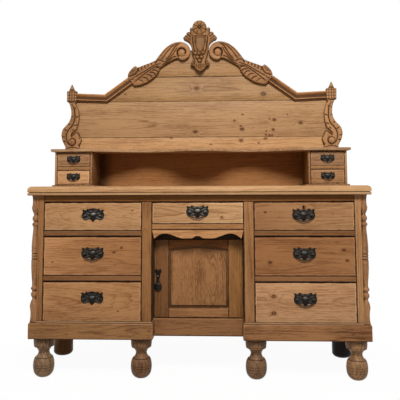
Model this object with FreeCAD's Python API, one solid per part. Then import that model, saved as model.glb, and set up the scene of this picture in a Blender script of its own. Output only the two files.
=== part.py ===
import FreeCAD, Part
import math
import os

# Victorian pine sideboard: two banks of three drawers either side of a recessed
# cupboard, a moulded worktop, and a tall gallery with small drawers, a shelf and
# a carved crest.  Millimetres, X across, Y from front to back, Z up from the floor.
# The origin is on the floor at the middle of the width and of the depth.

V = FreeCAD.Vector
os.makedirs("parts", exist_ok=True)

# ---- worktop and overall depth
worktop_width = 1700.0
overall_depth = 530.0
worktop_thickness = 45.0
front_overhang = 30.0
worktop_round = 18.0
worktop_lip_height = 13.0
worktop_lip_setback = 1.0
worktop_groove_height = 3.2
worktop_groove_depth = 5.0

# ---- base case
case_width = 1660.0
case_board = 22.0
back_board = 15.0
bottom_board = 20.0
partition_board = 20.0
stile_width = 32.0
stile_depth = 60.0
column_seat = 28.0
column_seat_depth = 35.0
inner_post_width = 52.6
face_depth = 30.0
recess_width = 454.0
recess_setback = 80.0
foot_height = 194.0
plinth_height = 77.4
bottom_reveal = 6.5
lower_opening = 193.8
middle_opening = 190.8
top_opening = 139.8
centre_opening = 107.0
rail_height = 29.7
top_rail_height = 33.3

# ---- plinth
plinth_board = 19.0
plinth_proud = 6.5
plinth_inner_proud = 7.0
plinth_round = 6.0
recess_plinth_setback = 62.0
recess_plinth_rise = 1.6
foot_block = 92.0
foot_block_length = 112.0

# ---- feet
foot_inset = 55.0
inner_foot_x = 284.5
foot_setback = 56.0
foot_ball_radius = 52.0
foot_ball_height = 57.0
foot_base_radius = 26.0
foot_neck_radius = 26.5
foot_neck_height = 120.0
foot_fillet_radius = 40.0
foot_fillet_height = 96.0
foot_disc_radius = 51.0
foot_disc_height = 48.0
back_foot_radius = 53.0
back_foot_inset = 50.0
back_foot_setback = 74.0
back_foot_round = 16.0

# ---- turned corner columns
column_radius = 17.4
column_block = 32.0
column_waist = 4.4
column_top_block = 60.0
column_bottom_block = 77.6
column_corner_radius = 24.6

# ---- drawers
drawer_gap = 1.5
drawer_head_gap = 4.5
runner_gap = 0.3
drawer_front = 22.0
drawer_side = 12.0
drawer_bottom = 8.0
drawer_back_room = 30.0
drawer_side_drop = 8.0
drawer_back_drop = 22.0
runner_ledge = 20.0
guide_height = 25.0
guide_gap = 0.3
keyhole_radius = 4.4
keyhole_slot_width = 4.6
keyhole_slot_drop = 13.0
keyhole_rise = 41.5
lock_width = 62.0
lock_height = 48.0
lock_depth = 12.0

# ---- apron under the middle drawer
apron_board = 20.0
apron_drop = 47.0
apron_side_gap = 0.3

# ---- cupboard door
door_board = 22.0
door_hinge_gap = 1.0
door_swing_gap = 2.0
door_foot_gap = 2.0
door_head_gap = 1.6
door_header_height = 54.5
door_stile = 75.0
door_bottom_rail = 48.0
door_top_rail = 49.0
door_arch_rise = 17.0
panel_board = 11.0
panel_tongue = 8.0
panel_groove_gap = 0.3
panel_setback = 6.0
panel_margin = 12.0
panel_margin_depth = 4.0

# ---- butt hinges
hinge_height = 60.0
hinge_leaf = 1.5
hinge_leaf_width = 22.0
hinge_knuckle_radius = 3.3
hinge_pin_radius = 1.6
hinge_pin_clearance = 0.05
hinge_joint_gap = 0.25
hinge_pin_inset = 3.0
hinge_pin_front = 3.5
lower_hinge_height = 390.0
upper_hinge_height = 575.0
hinge_knuckles = 5

# ---- gallery
small_case_width = 209.0
small_case_inset = 49.0
small_case_setback = 266.0
small_case_height = 184.0
small_case_side = 12.8
small_case_board = 5.7
small_divider = 19.8
small_base_board = 8.0
small_base_side = 11.0
small_base_front = 11.0
small_base_inside = 17.0
small_drawer_front = 14.0
small_drawer_side = 7.0
small_drawer_bottom = 5.0
small_drawer_head_gap = 2.0
small_drawer_back_room = 11.0
small_drawer_side_drop = 4.0
small_drawer_back_drop = 12.0
shelf_end_inset = 30.0
shelf_board = 14.0
shelf_setback = 245.0
shelf_hollow = 110.0
panel_thickness = 18.0

# ---- carved crest and side scrolls
panel_half_width = 752.0
crest_height = 1924.0
crest_thickness = 24.0
crest_shift = -3.0
cartouche_reach = 38.0
rosette_radius = 43.0
rosette_reach = 44.0
grape_radius = 10.0
side_scroll_thickness = 26.0
moulding_height = 48.0
moulding_reach = 23.0
crest_joint_height = 1585.2
panel_joint_height = 1439.7
panel_low_joint_height = 1227.4
outline_half_length = 820.0
outline_foot = 1146.0
outline_head = 1918.0

# ---- handles: name of each size, then the large and the small pattern
large_handle = dict(width=112.0, plate=2.6, relief=3.0, post_radius=4.8, post_reach=13.8,
                    pivot_reach=9.6, rod=2.7, pin=2.0, knuckle=3.3, span=92.0, drop=34.0,
                    post_spacing=74.0, side_curve=20.0)
small_handle = dict(width=76.0, plate=2.0, relief=2.0, post_radius=3.3, post_reach=10.6,
                    pivot_reach=7.4, rod=1.9, pin=1.4, knuckle=2.3, span=63.0, drop=23.0,
                    post_spacing=50.5, side_curve=14.0)
handle_pin_clearance = 0.05
bail_lean = 4.0
handle_shift = -1.8
small_handle_shift = 0.5
top_handle_rise = 4.0
middle_handle_rise = 10.0
lower_handle_rise = 14.0
small_handle_rise = 1.0

# ---- pear drop handle of the door
drop_inset = 21.0
drop_height = 487.0
drop_plate_width = 34.0
drop_plate_height = 62.0
drop_plate_board = 2.6
drop_length = 72.0
drop_width = 34.0
drop_thickness = 7.0
drop_pivot_reach = 9.0
drop_lug_width = 3.0
drop_lug_radius = 4.4
drop_eye_radius = 4.2
drop_eye_width = 7.0
drop_pin_radius = 1.6

# ---- overrun of every cutting shape
overrun = 2.0

# ---- places worked out from the sizes
half_depth = overall_depth / 2
front_y = front_overhang - half_depth
back_y = half_depth
case_x = case_width / 2
side_x = case_x - case_board
stile_x = case_x - column_seat
bank_outer_x = stile_x - stile_width
recess_x = recess_width / 2
bank_inner_x = recess_x + inner_post_width
partition_x = recess_x + partition_board
plinth_top = foot_height + plinth_height
floor_z = plinth_top + bottom_reveal
floor_under_z = floor_z - bottom_board
lower_z = (floor_z, floor_z + lower_opening)
middle_z = (lower_z[1] + rail_height, lower_z[1] + rail_height + middle_opening)
top_z = (middle_z[1] + rail_height, middle_z[1] + rail_height + top_opening)
centre_z = (top_z[1] - centre_opening, top_z[1])
centre_rail_z = centre_z[0] - rail_height
case_top_z = top_z[1] + top_rail_height
worktop_z = case_top_z + worktop_thickness
back_face_y = back_y - back_board
plinth_x = case_x + plinth_proud
plinth_front_y = front_y - plinth_board
plinth_inner_x = recess_x - plinth_inner_proud
recess_plinth_y = front_y + recess_plinth_setback
recess_plinth_top = floor_z + recess_plinth_rise
door_y = front_y + recess_setback
door_z = (recess_plinth_top + door_foot_gap, centre_rail_z - door_header_height - door_head_gap)
door_x = (door_swing_gap - recess_x, recess_x - door_hinge_gap)
hinge_x = recess_x - hinge_pin_inset
hinge_y = door_y - hinge_pin_front
panel_y = back_y - panel_thickness
small_outer_x = worktop_width / 2 - small_case_inset
small_inner_x = small_outer_x - small_case_width
small_open_x = (small_inner_x + small_case_side, small_outer_x - small_case_side)
small_y = front_y + small_case_setback
small_case_z = worktop_z + small_base_board
shelf_z = small_case_z + small_case_height
shelf_top_z = shelf_z + shelf_board
small_opening = (small_case_height - small_divider) / 2 - small_case_board
small_low_z = (small_case_z + small_case_board, small_case_z + small_case_board + small_opening)
small_high_z = (small_low_z[1] + small_divider, small_low_z[1] + small_divider + small_opening)
shelf_y = front_y + shelf_setback
shelf_x = worktop_width / 2 - shelf_end_inset
drawer_length = back_face_y - front_y - drawer_back_room
small_drawer_length = panel_y - small_y - small_drawer_back_room


# ---- shapes used for many pieces
def block(x, y, z):
    """Board between pairs of limits, given in any order."""
    x, y, z = sorted(x), sorted(y), sorted(z)
    return Part.makeBox(x[1] - x[0], y[1] - y[0], z[1] - z[0], V(x[0], y[0], z[0]))


def mirrored(solid):
    return solid.mirror(V(0, 0, 0), V(1, 0, 0))


def both_sides(solids):
    return solids + [mirrored(solid) for solid in solids]


def joined(solids):
    whole = solids[0].multiFuse(solids[1:]) if len(solids) > 1 else solids[0]
    return whole.removeSplitter()


def polygon(points):
    corners = [V(*point) for point in points]
    return Part.Face(Part.makePolygon(corners + [corners[0]]))


def board_across(points, x):
    """Outline in the Y-Z plane, extruded along X."""
    return polygon([(x[0], y, z) for y, z in points]).extrude(V(x[1] - x[0], 0, 0))


def curve(points):
    """Edge through two, three or more points: line, arc or smooth curve."""
    points = [V(*point) for point in points]
    if len(points) == 2:
        return Part.LineSegment(*points).toShape()
    if len(points) == 3:
        return Part.Arc(*points).toShape()
    spline = Part.BSplineCurve()
    spline.interpolate(points)
    return spline.toShape()


def outline_board(stretches, y):
    """Closed outline in the X-Z plane, a list of curve stretches, extruded in Y."""
    edges = []
    for index, stretch in enumerate(stretches):
        following = stretches[(index + 1) % len(stretches)][0]
        if len(stretch) > 1 or stretch[0] != following:
            points = stretch if stretch[-1] == following else stretch + [following]
            edges.append(curve([(px, y[0], pz) for px, pz in points]))
    face = Part.Face(Part.Wire(edges))
    return face.extrude(V(0, y[1] - y[0], 0))


def turning(profile, x, y):
    """Turned piece from (height, radius) or arc (height, radius, through) steps."""
    edges = [Part.LineSegment(V(x, y, profile[0][0]), V(x + profile[0][1], y, profile[0][0]))]
    for before, after in zip(profile, profile[1:]):
        start = V(x + before[1], y, before[0])
        end = V(x + after[1], y, after[0])
        if len(after) > 2:
            middle = V(x + after[2], y, (before[0] + after[0]) / 2)
            edges.append(Part.Arc(start, middle, end))
        else:
            edges.append(Part.LineSegment(start, end))
    edges.append(Part.LineSegment(V(x + profile[-1][1], y, profile[-1][0]), V(x, y, profile[-1][0])))
    edges.append(Part.LineSegment(V(x, y, profile[-1][0]), V(x, y, profile[0][0])))
    face = Part.Face(Part.Wire([edge.toShape() for edge in edges]))
    return face.revolve(V(x, y, 0), V(0, 0, 1), 360)


def rounded(solid, radius, pick):
    edges = [edge for edge in solid.Edges if pick(edge.CenterOfMass)]
    return solid.makeFillet(radius, edges) if edges else solid


nodes = {}

# ---- worktop: thick board with a rounded edge, a sunk line and a lower lip
half_top = worktop_width / 2
lip_z = case_top_z + worktop_lip_height
groove_z = lip_z + worktop_groove_height


def worktop_edge(reach, inner):
    """Edge profile seen end on: distance out from the middle, and height."""
    lip = reach - worktop_lip_setback
    groove = lip - worktop_groove_depth
    top = worktop_z - worktop_round
    low = groove_z + worktop_lip_setback
    shoulder = worktop_round * (1 - math.sqrt(0.5))
    return [
        [(inner, case_top_z), (lip, case_top_z)], [(lip, case_top_z), (lip, lip_z)],
        [(lip, lip_z), (groove, lip_z)], [(groove, lip_z), (groove, groove_z)],
        [(groove, groove_z), (lip, groove_z)], [(lip, groove_z), (reach, low)],
        [(reach, low), (reach, top)],
        [(reach, top), (reach - shoulder, worktop_z - shoulder), (reach - worktop_round, worktop_z)],
        [(reach - worktop_round, worktop_z), (inner, worktop_z)],
        [(inner, worktop_z), (inner, case_top_z)],
    ]


def edge_prism(stretches, place, direction):
    edges = [curve([place(out, up) for out, up in stretch]) for stretch in stretches]
    return Part.Face(Part.Wire(edges)).extrude(direction)


front_run = edge_prism(worktop_edge(half_depth, -half_depth),
                       lambda out, up: (-half_top, -out, up), V(worktop_width, 0, 0))
right_run = edge_prism(worktop_edge(half_top, 0.0),
                       lambda out, up: (out, -half_depth, up), V(0, overall_depth, 0))
side_run = joined([right_run, mirrored(right_run)])
nodes["worktop"] = [front_run.common(side_run)]

# ---- case: sides, partitions, bottom and back
nodes["case_sides"] = both_sides([block(
    (side_x, case_x), (front_y + column_seat_depth, back_y), (plinth_top, case_top_z))])
nodes["case_back"] = [block((-side_x, side_x), (back_face_y, back_y), (floor_under_z, case_top_z))]

bottom_points = [
    (recess_x, front_y), (stile_x, front_y), (stile_x, front_y + column_seat_depth),
    (side_x, front_y + column_seat_depth), (side_x, back_face_y), (-side_x, back_face_y),
    (-side_x, front_y + column_seat_depth), (-stile_x, front_y + column_seat_depth),
    (-stile_x, front_y), (-recess_x, front_y), (-recess_x, recess_plinth_y + plinth_board),
    (recess_x, recess_plinth_y + plinth_board),
]
bottom = polygon([(x, y, floor_under_z) for x, y in bottom_points])
nodes["case_bottom"] = [bottom.extrude(V(0, 0, bottom_board))]

hinge_levels = [lower_hinge_height, upper_hinge_height]
partition = block((recess_x, partition_x), (front_y + face_depth, back_face_y), (floor_z, case_top_z))
hinged = partition.copy()
for level in hinge_levels:
    hinged = hinged.cut(block(
        (recess_x - overrun, recess_x + hinge_leaf),
        (hinge_y - hinge_knuckle_radius, hinge_y + hinge_leaf_width),
        (level - hinge_height / 2, level + hinge_height / 2)))
nodes["partitions"] = [hinged, mirrored(partition)]

# ---- face frame: posts, rails and the header behind the apron
outer_post = polygon([(x, y, floor_z) for x, y in [
    (bank_outer_x, front_y), (stile_x, front_y), (stile_x, front_y + column_seat_depth),
    (side_x, front_y + column_seat_depth), (side_x, front_y + stile_depth),
    (bank_outer_x, front_y + stile_depth)]]).extrude(V(0, 0, case_top_z - floor_z))
inner_post = block((recess_x, bank_inner_x), (front_y, front_y + face_depth), (floor_z, top_z[1]))
nodes["face_posts"] = both_sides([outer_post, inner_post])

face_y = (front_y, front_y + face_depth)
bank_rails = [block((bank_inner_x, bank_outer_x), face_y, (low, low + rail_height))
              for low in (lower_z[1], middle_z[1])]
nodes["face_rails"] = both_sides(bank_rails) + [
    block((-bank_outer_x, bank_outer_x), face_y, (top_z[1], case_top_z)),
    block((-recess_x, recess_x), face_y, (centre_rail_z, centre_z[0])),
    block((-recess_x, recess_x), (door_y, door_y + door_board),
          (centre_rail_z - door_header_height, centre_rail_z)),
]

# ---- apron: shaped board under the middle rail
apron_x = recess_x - apron_side_gap
apron_shares = [(1.0, 0.04), (0.953, 1.0), (0.86, 0.62), (0.73, 0.42), (0.58, 0.55),
                (0.40, 0.86), (0.245, 1.0), (0.12, 0.90), (0.045, 0.69)]
apron_side = [(apron_x * across, centre_rail_z - apron_drop * down) for across, down in apron_shares]
apron_other = [(-x, z) for x, z in reversed(apron_side)]
nodes["apron"] = [outline_board([
    [(-apron_x, centre_rail_z), (apron_x, centre_rail_z)],
    [(apron_x, centre_rail_z), apron_side[0]], [apron_side[0], apron_side[1]],
    apron_side[1:], [apron_side[-1], apron_other[0]], apron_other[:-1],
    [apron_other[-2], apron_other[-1]], [apron_other[-1], (-apron_x, centre_rail_z)],
], (front_y, front_y + apron_board))]

# ---- turned columns let into the front corners: square ends with a waist and a rounded
# shoulder, and a turning that is the same above and below its middle
column_x = stile_x + column_radius
column_y = front_y + column_radius
column_block_x = stile_x + column_block
column_foot = plinth_top + column_bottom_block
column_head = case_top_z - column_top_block
column_half = (column_head - column_foot) / 2
column_mid = (column_head + column_foot) / 2
# height above the middle as a share of half the turning, radius as a share of the
# column's, and the radius halfway where the stretch between is round
column_shares = [
    (0.003, 0.82), (0.053, 0.82, 0.98), (0.056, 0.80), (0.064, 0.80), (0.068, 0.96),
    (0.148, 0.98), (0.155, 0.90), (0.162, 0.98), (0.183, 0.98), (0.190, 0.90), (0.197, 0.98),
    (0.218, 0.97), (0.445, 0.76, 0.87), (0.4495, 0.66), (0.458, 0.73), (0.560, 0.63, 0.665),
    (0.593, 0.64), (0.640, 0.97, 0.74), (0.652, 0.96), (0.690, 0.60, 0.86), (0.706, 0.54),
    (0.712, 0.58), (0.832, 0.54, 0.90), (0.846, 0.50), (0.858, 0.50)]
shoulder_share = 0.858
shoulder_foot_share = 0.52
shoulder_round_share = 0.94


def column_steps(side):
    return [(column_mid + side * column_half * step[0],) +
            tuple(column_radius * share for share in step[1:]) for step in column_shares]


def column_end(outer_z, inner_z, side):
    """Square end: waisted on its outer side, its shoulder turned to a dome."""
    tip_z = column_mid + side * column_half * shoulder_share
    waist_z = (inner_z + outer_z) / 2
    front_view = [
        [(stile_x, outer_z), (column_block_x, outer_z)],
        [(column_block_x, outer_z), (column_block_x - column_waist, waist_z),
         (column_block_x, inner_z)],
        [(column_block_x, inner_z), (column_block_x, tip_z)],
        [(column_block_x, tip_z), (stile_x, tip_z)], [(stile_x, tip_z), (stile_x, outer_z)]]
    square = outline_board(front_view, (front_y, front_y + column_block))
    dome = [(tip_z, column_radius * shoulder_foot_share),
            (inner_z, column_corner_radius, column_radius * shoulder_round_share),
            (outer_z, column_corner_radius)]
    if side < 0:
        dome = [(outer_z, column_corner_radius), (inner_z, column_corner_radius),
                (tip_z, column_radius * shoulder_foot_share, column_radius * shoulder_round_share)]
    return square.common(turning(dome, column_x, column_y))


upper_steps = column_steps(1)
lower_steps = []
for step, later in zip(column_steps(-1), column_steps(-1)[1:] + [None]):
    lower_steps.append((step[0], step[1]) + (tuple(later[2:]) if later else ()))
column_profile = lower_steps[::-1] + upper_steps
column = joined([
    turning(column_profile, column_x, column_y),
    column_end(plinth_top, column_foot, -1), column_end(case_top_z, column_head, 1)])
nodes["corner_columns"] = both_sides([column])

# ---- plinth: boards proud of the case, returning into the recess, with a block
# over each foot
plinth_z = (foot_height, plinth_top)
bank_plinth = rounded(
    block((plinth_inner_x, plinth_x), (plinth_front_y, front_y), plinth_z), plinth_round,
    lambda c: c.z > plinth_top - plinth_round / 2 and
    (c.y < plinth_front_y + plinth_round / 2 or c.x > plinth_x - plinth_round / 2))
side_plinth = rounded(
    block((side_x, plinth_x), (front_y, back_y), plinth_z), plinth_round,
    lambda c: c.z > plinth_top - plinth_round / 2 and c.x > plinth_x - plinth_round / 2)
plinth_return = joined([
    block((plinth_inner_x, recess_x), (front_y, recess_plinth_y + plinth_board), plinth_z),
    block((recess_x, plinth_inner_x + plinth_board), (front_y, recess_plinth_y + plinth_board),
          (foot_height, floor_under_z))])
recess_plinth = rounded(
    block((-plinth_inner_x, plinth_inner_x), (recess_plinth_y, recess_plinth_y + plinth_board),
          (foot_height, recess_plinth_top)), plinth_round / 2,
    lambda c: c.z > recess_plinth_top - plinth_round / 4 and
    c.y < recess_plinth_y + plinth_round / 4)
back_plinth = block((-side_x, side_x), (back_y - plinth_board, back_y), (foot_height, floor_under_z))
block_z = (foot_height, floor_under_z)
foot_x = case_x - foot_inset
outer_block = block((side_x - foot_block, side_x), (front_y, front_y + foot_block_length), block_z)
inner_block_x = plinth_inner_x + plinth_board
inner_block = block((inner_block_x, inner_block_x + foot_block),
                    (front_y, front_y + foot_block_length), block_z)
rear_block = block((side_x - foot_block, side_x),
                   (back_y - plinth_board - foot_block_length, back_y - plinth_board), block_z)
nodes["plinth"] = both_sides([bank_plinth, side_plinth, plinth_return, outer_block,
                              inner_block, rear_block]) + [recess_plinth, back_plinth]

# ---- feet: turned bun feet in front, plain stumps behind
foot_disc_low = foot_height - foot_disc_height
disc_bulge_share = 1.02
foot_profile = [
    (0.0, foot_base_radius),
    (foot_ball_height * 0.45, foot_ball_radius * 0.93, foot_ball_radius * 0.80),
    (foot_ball_height * 1.45, foot_ball_radius * 0.93, foot_ball_radius),
    (foot_fillet_height, foot_fillet_radius, foot_ball_radius * 0.87),
    (foot_fillet_height, foot_fillet_radius * 0.93),
    (foot_neck_height, foot_neck_radius, foot_neck_radius * 1.12),
    (foot_disc_low, foot_disc_radius * 0.90, foot_neck_radius * 1.22),
    (foot_disc_low, foot_disc_radius * 0.96),
    (foot_height, foot_disc_radius * 0.98, foot_disc_radius * disc_bulge_share),
]
front_foot_y = front_y + foot_setback
nodes["front_feet"] = both_sides([
    turning(foot_profile, foot_x, front_foot_y), turning(foot_profile, inner_foot_x, front_foot_y)])
stump = turning([
    (0.0, back_foot_radius - back_foot_round),
    (back_foot_round, back_foot_radius, back_foot_radius - back_foot_round * (1 - math.sqrt(0.5))),
    (foot_height, back_foot_radius)], case_x - back_foot_inset, back_y - back_foot_setback)
nodes["back_feet"] = both_sides([stump])

# ---- runners and guides that carry the drawers, and the board under the middle one
runner_inner = (partition_x, bank_inner_x + runner_ledge)
runner_outer = (bank_outer_x - runner_ledge, side_x)
guide_inner = (partition_x, bank_inner_x - guide_gap)
guide_outer = (bank_outer_x + guide_gap, side_x)
runners = []
for level in (middle_z[0], top_z[0]):
    runners.append(block(runner_inner, (front_y + face_depth, back_face_y), (level - rail_height, level)))
    runners.append(block(runner_outer, (front_y + stile_depth, back_face_y), (level - rail_height, level)))
for level in (lower_z[0], middle_z[0], top_z[0]):
    guide_z = (level, level + guide_height)
    runners.append(block(guide_inner, (front_y + face_depth, back_face_y), guide_z))
    runners.append(block(guide_outer, (front_y + stile_depth, back_face_y), guide_z))
dust_board = block((-recess_x, recess_x), (front_y + face_depth, back_face_y),
                   (centre_z[0] - rail_height / 2, centre_z[0]))
nodes["drawer_runners"] = both_sides(runners) + [dust_board]


# ---- drawers
def drawer(x, z, y0, front, side, base, length, head_gap, side_drop, back_drop):
    """Front, two sides, back and bottom board of a drawer for an opening."""
    left, right = x[0] + drawer_gap, x[1] - drawer_gap
    bottom_z = z[0] + runner_gap
    inner_y = y0 + front
    end_y = y0 + length
    back_y_limits = (end_y - side, end_y)
    base_top = bottom_z + side / 2 + base
    return [
        block((left, right), (y0, inner_y), (bottom_z, z[1] - head_gap)),
        block((left, left + side), (inner_y, end_y), (bottom_z, z[1] - side_drop)),
        block((right - side, right), (inner_y, end_y), (bottom_z, z[1] - side_drop)),
        block((left + side, right - side), back_y_limits, (base_top, z[1] - back_drop)),
        block((left + side, right - side), (inner_y, end_y), (base_top - base, base_top)),
    ]


def large_drawer(x, z):
    return drawer(x, z, front_y, drawer_front, drawer_side, drawer_bottom, drawer_length,
                  drawer_head_gap, drawer_side_drop, drawer_back_drop)


def small_drawer(x, z):
    return drawer(x, z, small_y, small_drawer_front, small_drawer_side, small_drawer_bottom,
                  small_drawer_length, small_drawer_head_gap, small_drawer_side_drop,
                  small_drawer_back_drop)


# ---- bail handles.  Half outline of the cast plate as shares of its half width,
# and one pierced opening each side of the shield
plate_shares = [(0.0, 0.36), (0.13, 0.40), (0.28, 0.45), (0.43, 0.54), (0.55, 0.575),
                (0.63, 0.52), (0.68, 0.44), (0.79, 0.36), (0.90, 0.29), (0.95, 0.16),
                (1.0, 0.04), (0.98, -0.11), (0.90, -0.25), (0.82, -0.39), (0.68, -0.48),
                (0.54, -0.48), (0.40, -0.41), (0.25, -0.43), (0.11, -0.54), (0.0, -0.615)]
pierced_shares = [(0.25, 0.20), (0.46, 0.25), (0.53, 0.05), (0.50, -0.17), (0.39, -0.27), (0.22, -0.14)]
shield_shares = [(-0.19, 0.30), (0.19, 0.30), (0.22, 0.04), (0.15, -0.24), (0.0, -0.50),
                 (-0.15, -0.24), (-0.22, 0.04)]


def share_face(shares, size, at, y):
    return polygon([(at[0] + size * across, y, at[1] + size * up) for across, up in shares])


def handle_plate(size, at, face_y):
    """Pierced plate with a raised shield and the two posts that hold the bail."""
    half = size["width"] / 2
    whole = plate_shares + [(-across, up) for across, up in plate_shares[-2:0:-1]]
    plate = share_face(whole, half, at, face_y).extrude(V(0, -size["plate"], 0))
    other = [(-across, up) for across, up in pierced_shares]
    for shares in (pierced_shares, other):
        hole = share_face(shares, half, at, face_y + overrun)
        plate = plate.cut(hole.extrude(V(0, -size["plate"] - 2 * overrun, 0)))
    shield = share_face(shield_shares, half, at, face_y).extrude(
        V(0, -size["plate"] - size["relief"], 0))
    pieces = [plate, shield]
    pivot_y = face_y - size["pivot_reach"]
    for side in (-1, 1):
        post_x = at[0] + side * size["post_spacing"] / 2
        post = Part.makeCylinder(size["post_radius"], size["post_reach"],
                                 V(post_x, face_y, at[1]), V(0, -1, 0))
        pieces.append(post)
    whole_plate = joined(pieces)
    bore = Part.makeCylinder(size["pin"] + handle_pin_clearance, size["width"],
                             V(at[0] - half, pivot_y, at[1]), V(1, 0, 0))
    shaft_zone = [block(
        (at[0] + side * (size["post_spacing"] / 2 - size["post_radius"] - overrun),
         at[0] + side * (size["post_spacing"] / 2 + size["post_radius"] + overrun)),
        (face_y, pivot_y - size["post_reach"]),
        (at[1] - size["post_radius"], at[1] + size["post_radius"])) for side in (-1, 1)]
    return whole_plate.cut(bore.common(joined(shaft_zone)))


def bail(size, at, face_y, angle):
    """Swinging half-oval ring with a pin at each end, turned up by an angle."""
    pivot = V(at[0], face_y - size["pivot_reach"], at[1])
    reach = size["span"] / 2
    side_r = size["side_curve"]
    offset = reach - side_r
    low = size["drop"] - size["rod"]
    base_r = (offset ** 2 + low ** 2 - side_r ** 2) / (2 * (low - side_r))
    turn = math.degrees(math.atan2(base_r - low, offset))
    pieces = []
    for side in (-1, 1):
        corner = pivot + V(side * reach, 0, 0)
        start = Part.Face(Part.Wire(Part.makeCircle(size["rod"], corner, V(0, 0, 1))))
        centre = pivot + V(side * offset, 0, 0)
        arm = start.revolve(centre, V(0, 1, 0), side * (90 - (90 - turn_of(turn))))
        pieces.append(arm)
        pieces.append(Part.makeSphere(size["knuckle"], corner))
        inner = size["post_spacing"] / 2 - size["post_radius"] * 0.6
        pieces.append(Part.makeCylinder(size["pin"], reach - inner,
                                        pivot + V(side * inner, 0, 0), V(side, 0, 0)))
    arc_centre = pivot + V(0, 0, base_r - low)
    bottom_face = Part.Face(Part.Wire(Part.makeCircle(
        size["rod"], pivot + V(0, 0, -low), V(1, 0, 0))))
    swing = math.degrees(math.atan2(offset, base_r - low))
    for side in (-1, 1):
        pieces.append(bottom_face.revolve(arc_centre, V(0, 1, 0), side * swing))
    ring = joined(pieces)
    ring.rotate(pivot, V(-1, 0, 0), angle)
    return ring


def turn_of(turn):
    """Sweep of the side curve down to where the bottom curve takes over."""
    return 90 - (90 - turn) if turn > 90 else turn


bail_raised = 180.0 + bail_lean

# ---- every drawer with its handle
bank_x = (bank_inner_x, bank_outer_x)


def opposite(x):
    return (-x[1], -x[0])


def middle(pair):
    return (pair[0] + pair[1]) / 2


handle_spacing = middle(bank_x) + handle_shift
small_handle_spacing = middle(small_open_x) + small_handle_shift

large_places = {
    "left_top": (opposite(bank_x), top_z, -handle_spacing, top_handle_rise, bail_raised),
    "left_middle": (opposite(bank_x), middle_z, -handle_spacing, middle_handle_rise, 0.0),
    "left_bottom": (opposite(bank_x), lower_z, -handle_spacing, lower_handle_rise, bail_raised),
    "right_top": (bank_x, top_z, handle_spacing, top_handle_rise, 0.0),
    "right_middle": (bank_x, middle_z, handle_spacing, middle_handle_rise, 0.0),
    "right_bottom": (bank_x, lower_z, handle_spacing, lower_handle_rise, 0.0),
    "centre": ((-recess_x, recess_x), centre_z, 0.0, top_handle_rise, 0.0),
}
for name, (x, z, handle_x, rise, angle) in large_places.items():
    pieces = large_drawer(x, z)
    at = (handle_x, middle(z) + rise)
    if name == "right_top":
        key_z = at[1] + keyhole_rise
        inner_y = front_y + drawer_front
        lock = block((handle_x - lock_width / 2, handle_x + lock_width / 2),
                     (inner_y, inner_y + lock_depth),
                     (z[1] - drawer_head_gap - lock_height, z[1] - drawer_head_gap))
        key_way = joined([
            Part.makeCylinder(keyhole_radius, drawer_front + lock_depth + overrun,
                              V(handle_x, front_y - overrun, key_z), V(0, 1, 0)),
            block((handle_x - keyhole_slot_width / 2, handle_x + keyhole_slot_width / 2),
                  (front_y - overrun, front_y + drawer_front + lock_depth),
                  (key_z - keyhole_slot_drop, key_z))])
        pieces[0] = pieces[0].cut(key_way)
        nodes["drawer_lock"] = [lock.cut(key_way)]
    nodes["drawer_" + name] = pieces
    nodes["plate_" + name] = [handle_plate(large_handle, at, front_y)]
    nodes["bail_" + name] = [bail(large_handle, at, front_y, angle)]

small_places = {
    "small_left_upper": (opposite(small_open_x), small_high_z, -small_handle_spacing),
    "small_left_lower": (opposite(small_open_x), small_low_z, -small_handle_spacing),
    "small_right_upper": (small_open_x, small_high_z, small_handle_spacing),
    "small_right_lower": (small_open_x, small_low_z, small_handle_spacing),
}
for name, (x, z, handle_x) in small_places.items():
    at = (handle_x, middle(z) + small_handle_rise)
    nodes["drawer_" + name] = small_drawer(x, z)
    nodes["plate_" + name] = [handle_plate(small_handle, at, small_y)]
    nodes["bail_" + name] = [bail(small_handle, at, small_y, 0.0)]

# ---- cupboard door: two stiles, arched top rail, bottom rail and a fielded panel
frame_y = (door_y, door_y + door_board)
open_x = (door_x[0] + door_stile, door_x[1] - door_stile)
open_z = (door_z[0] + door_bottom_rail, door_z[1] - door_top_rail)
door_mid = middle(door_x)


def arched(x, z, rise, y):
    return outline_board([
        [(x[0], z[0]), (x[1], z[0])], [(x[1], z[0]), (x[1], z[1])],
        [(x[1], z[1]), (middle(x), z[1] + rise), (x[0], z[1])], [(x[0], z[1]), (x[0], z[0])]], y)


panel_front = door_y + panel_setback
tongue = panel_tongue
slot = panel_tongue + panel_groove_gap
panel_slot = arched((open_x[0] - slot, open_x[1] + slot), (open_z[0] - slot, open_z[1] + slot),
                    door_arch_rise, (panel_front + panel_margin_depth - panel_groove_gap,
                                     panel_front + panel_board + panel_groove_gap))
stiles = [block((door_x[0], open_x[0]), frame_y, door_z), block((open_x[1], door_x[1]), frame_y, door_z)]
low_rail = block(open_x, frame_y, (door_z[0], open_z[0]))
arch_opening = arched(open_x, open_z, door_arch_rise, (door_y - overrun, door_y + door_board + overrun))
high_rail = block(open_x, frame_y, (open_z[1], door_z[1])).cut(arch_opening)
for level in hinge_levels:
    stiles[1] = stiles[1].cut(block(
        (door_x[1] - hinge_leaf, door_x[1] + overrun), (door_y - overrun, hinge_y + hinge_leaf_width),
        (level - hinge_height / 2, level + hinge_height / 2)))
nodes["door_frame"] = [piece.cut(panel_slot) for piece in stiles + [low_rail, high_rail]]

tongue_board = arched((open_x[0] - tongue, open_x[1] + tongue),
                      (open_z[0] - tongue, open_z[1] + tongue), door_arch_rise,
                      (panel_front + panel_margin_depth, panel_front + panel_board))
field_board = arched((open_x[0] + panel_margin, open_x[1] - panel_margin),
                     (open_z[0] + panel_margin, open_z[1] - panel_margin), door_arch_rise,
                     (panel_front, panel_front + panel_margin_depth + panel_margin_depth))
nodes["door_panel"] = [joined([tongue_board, field_board])]

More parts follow.
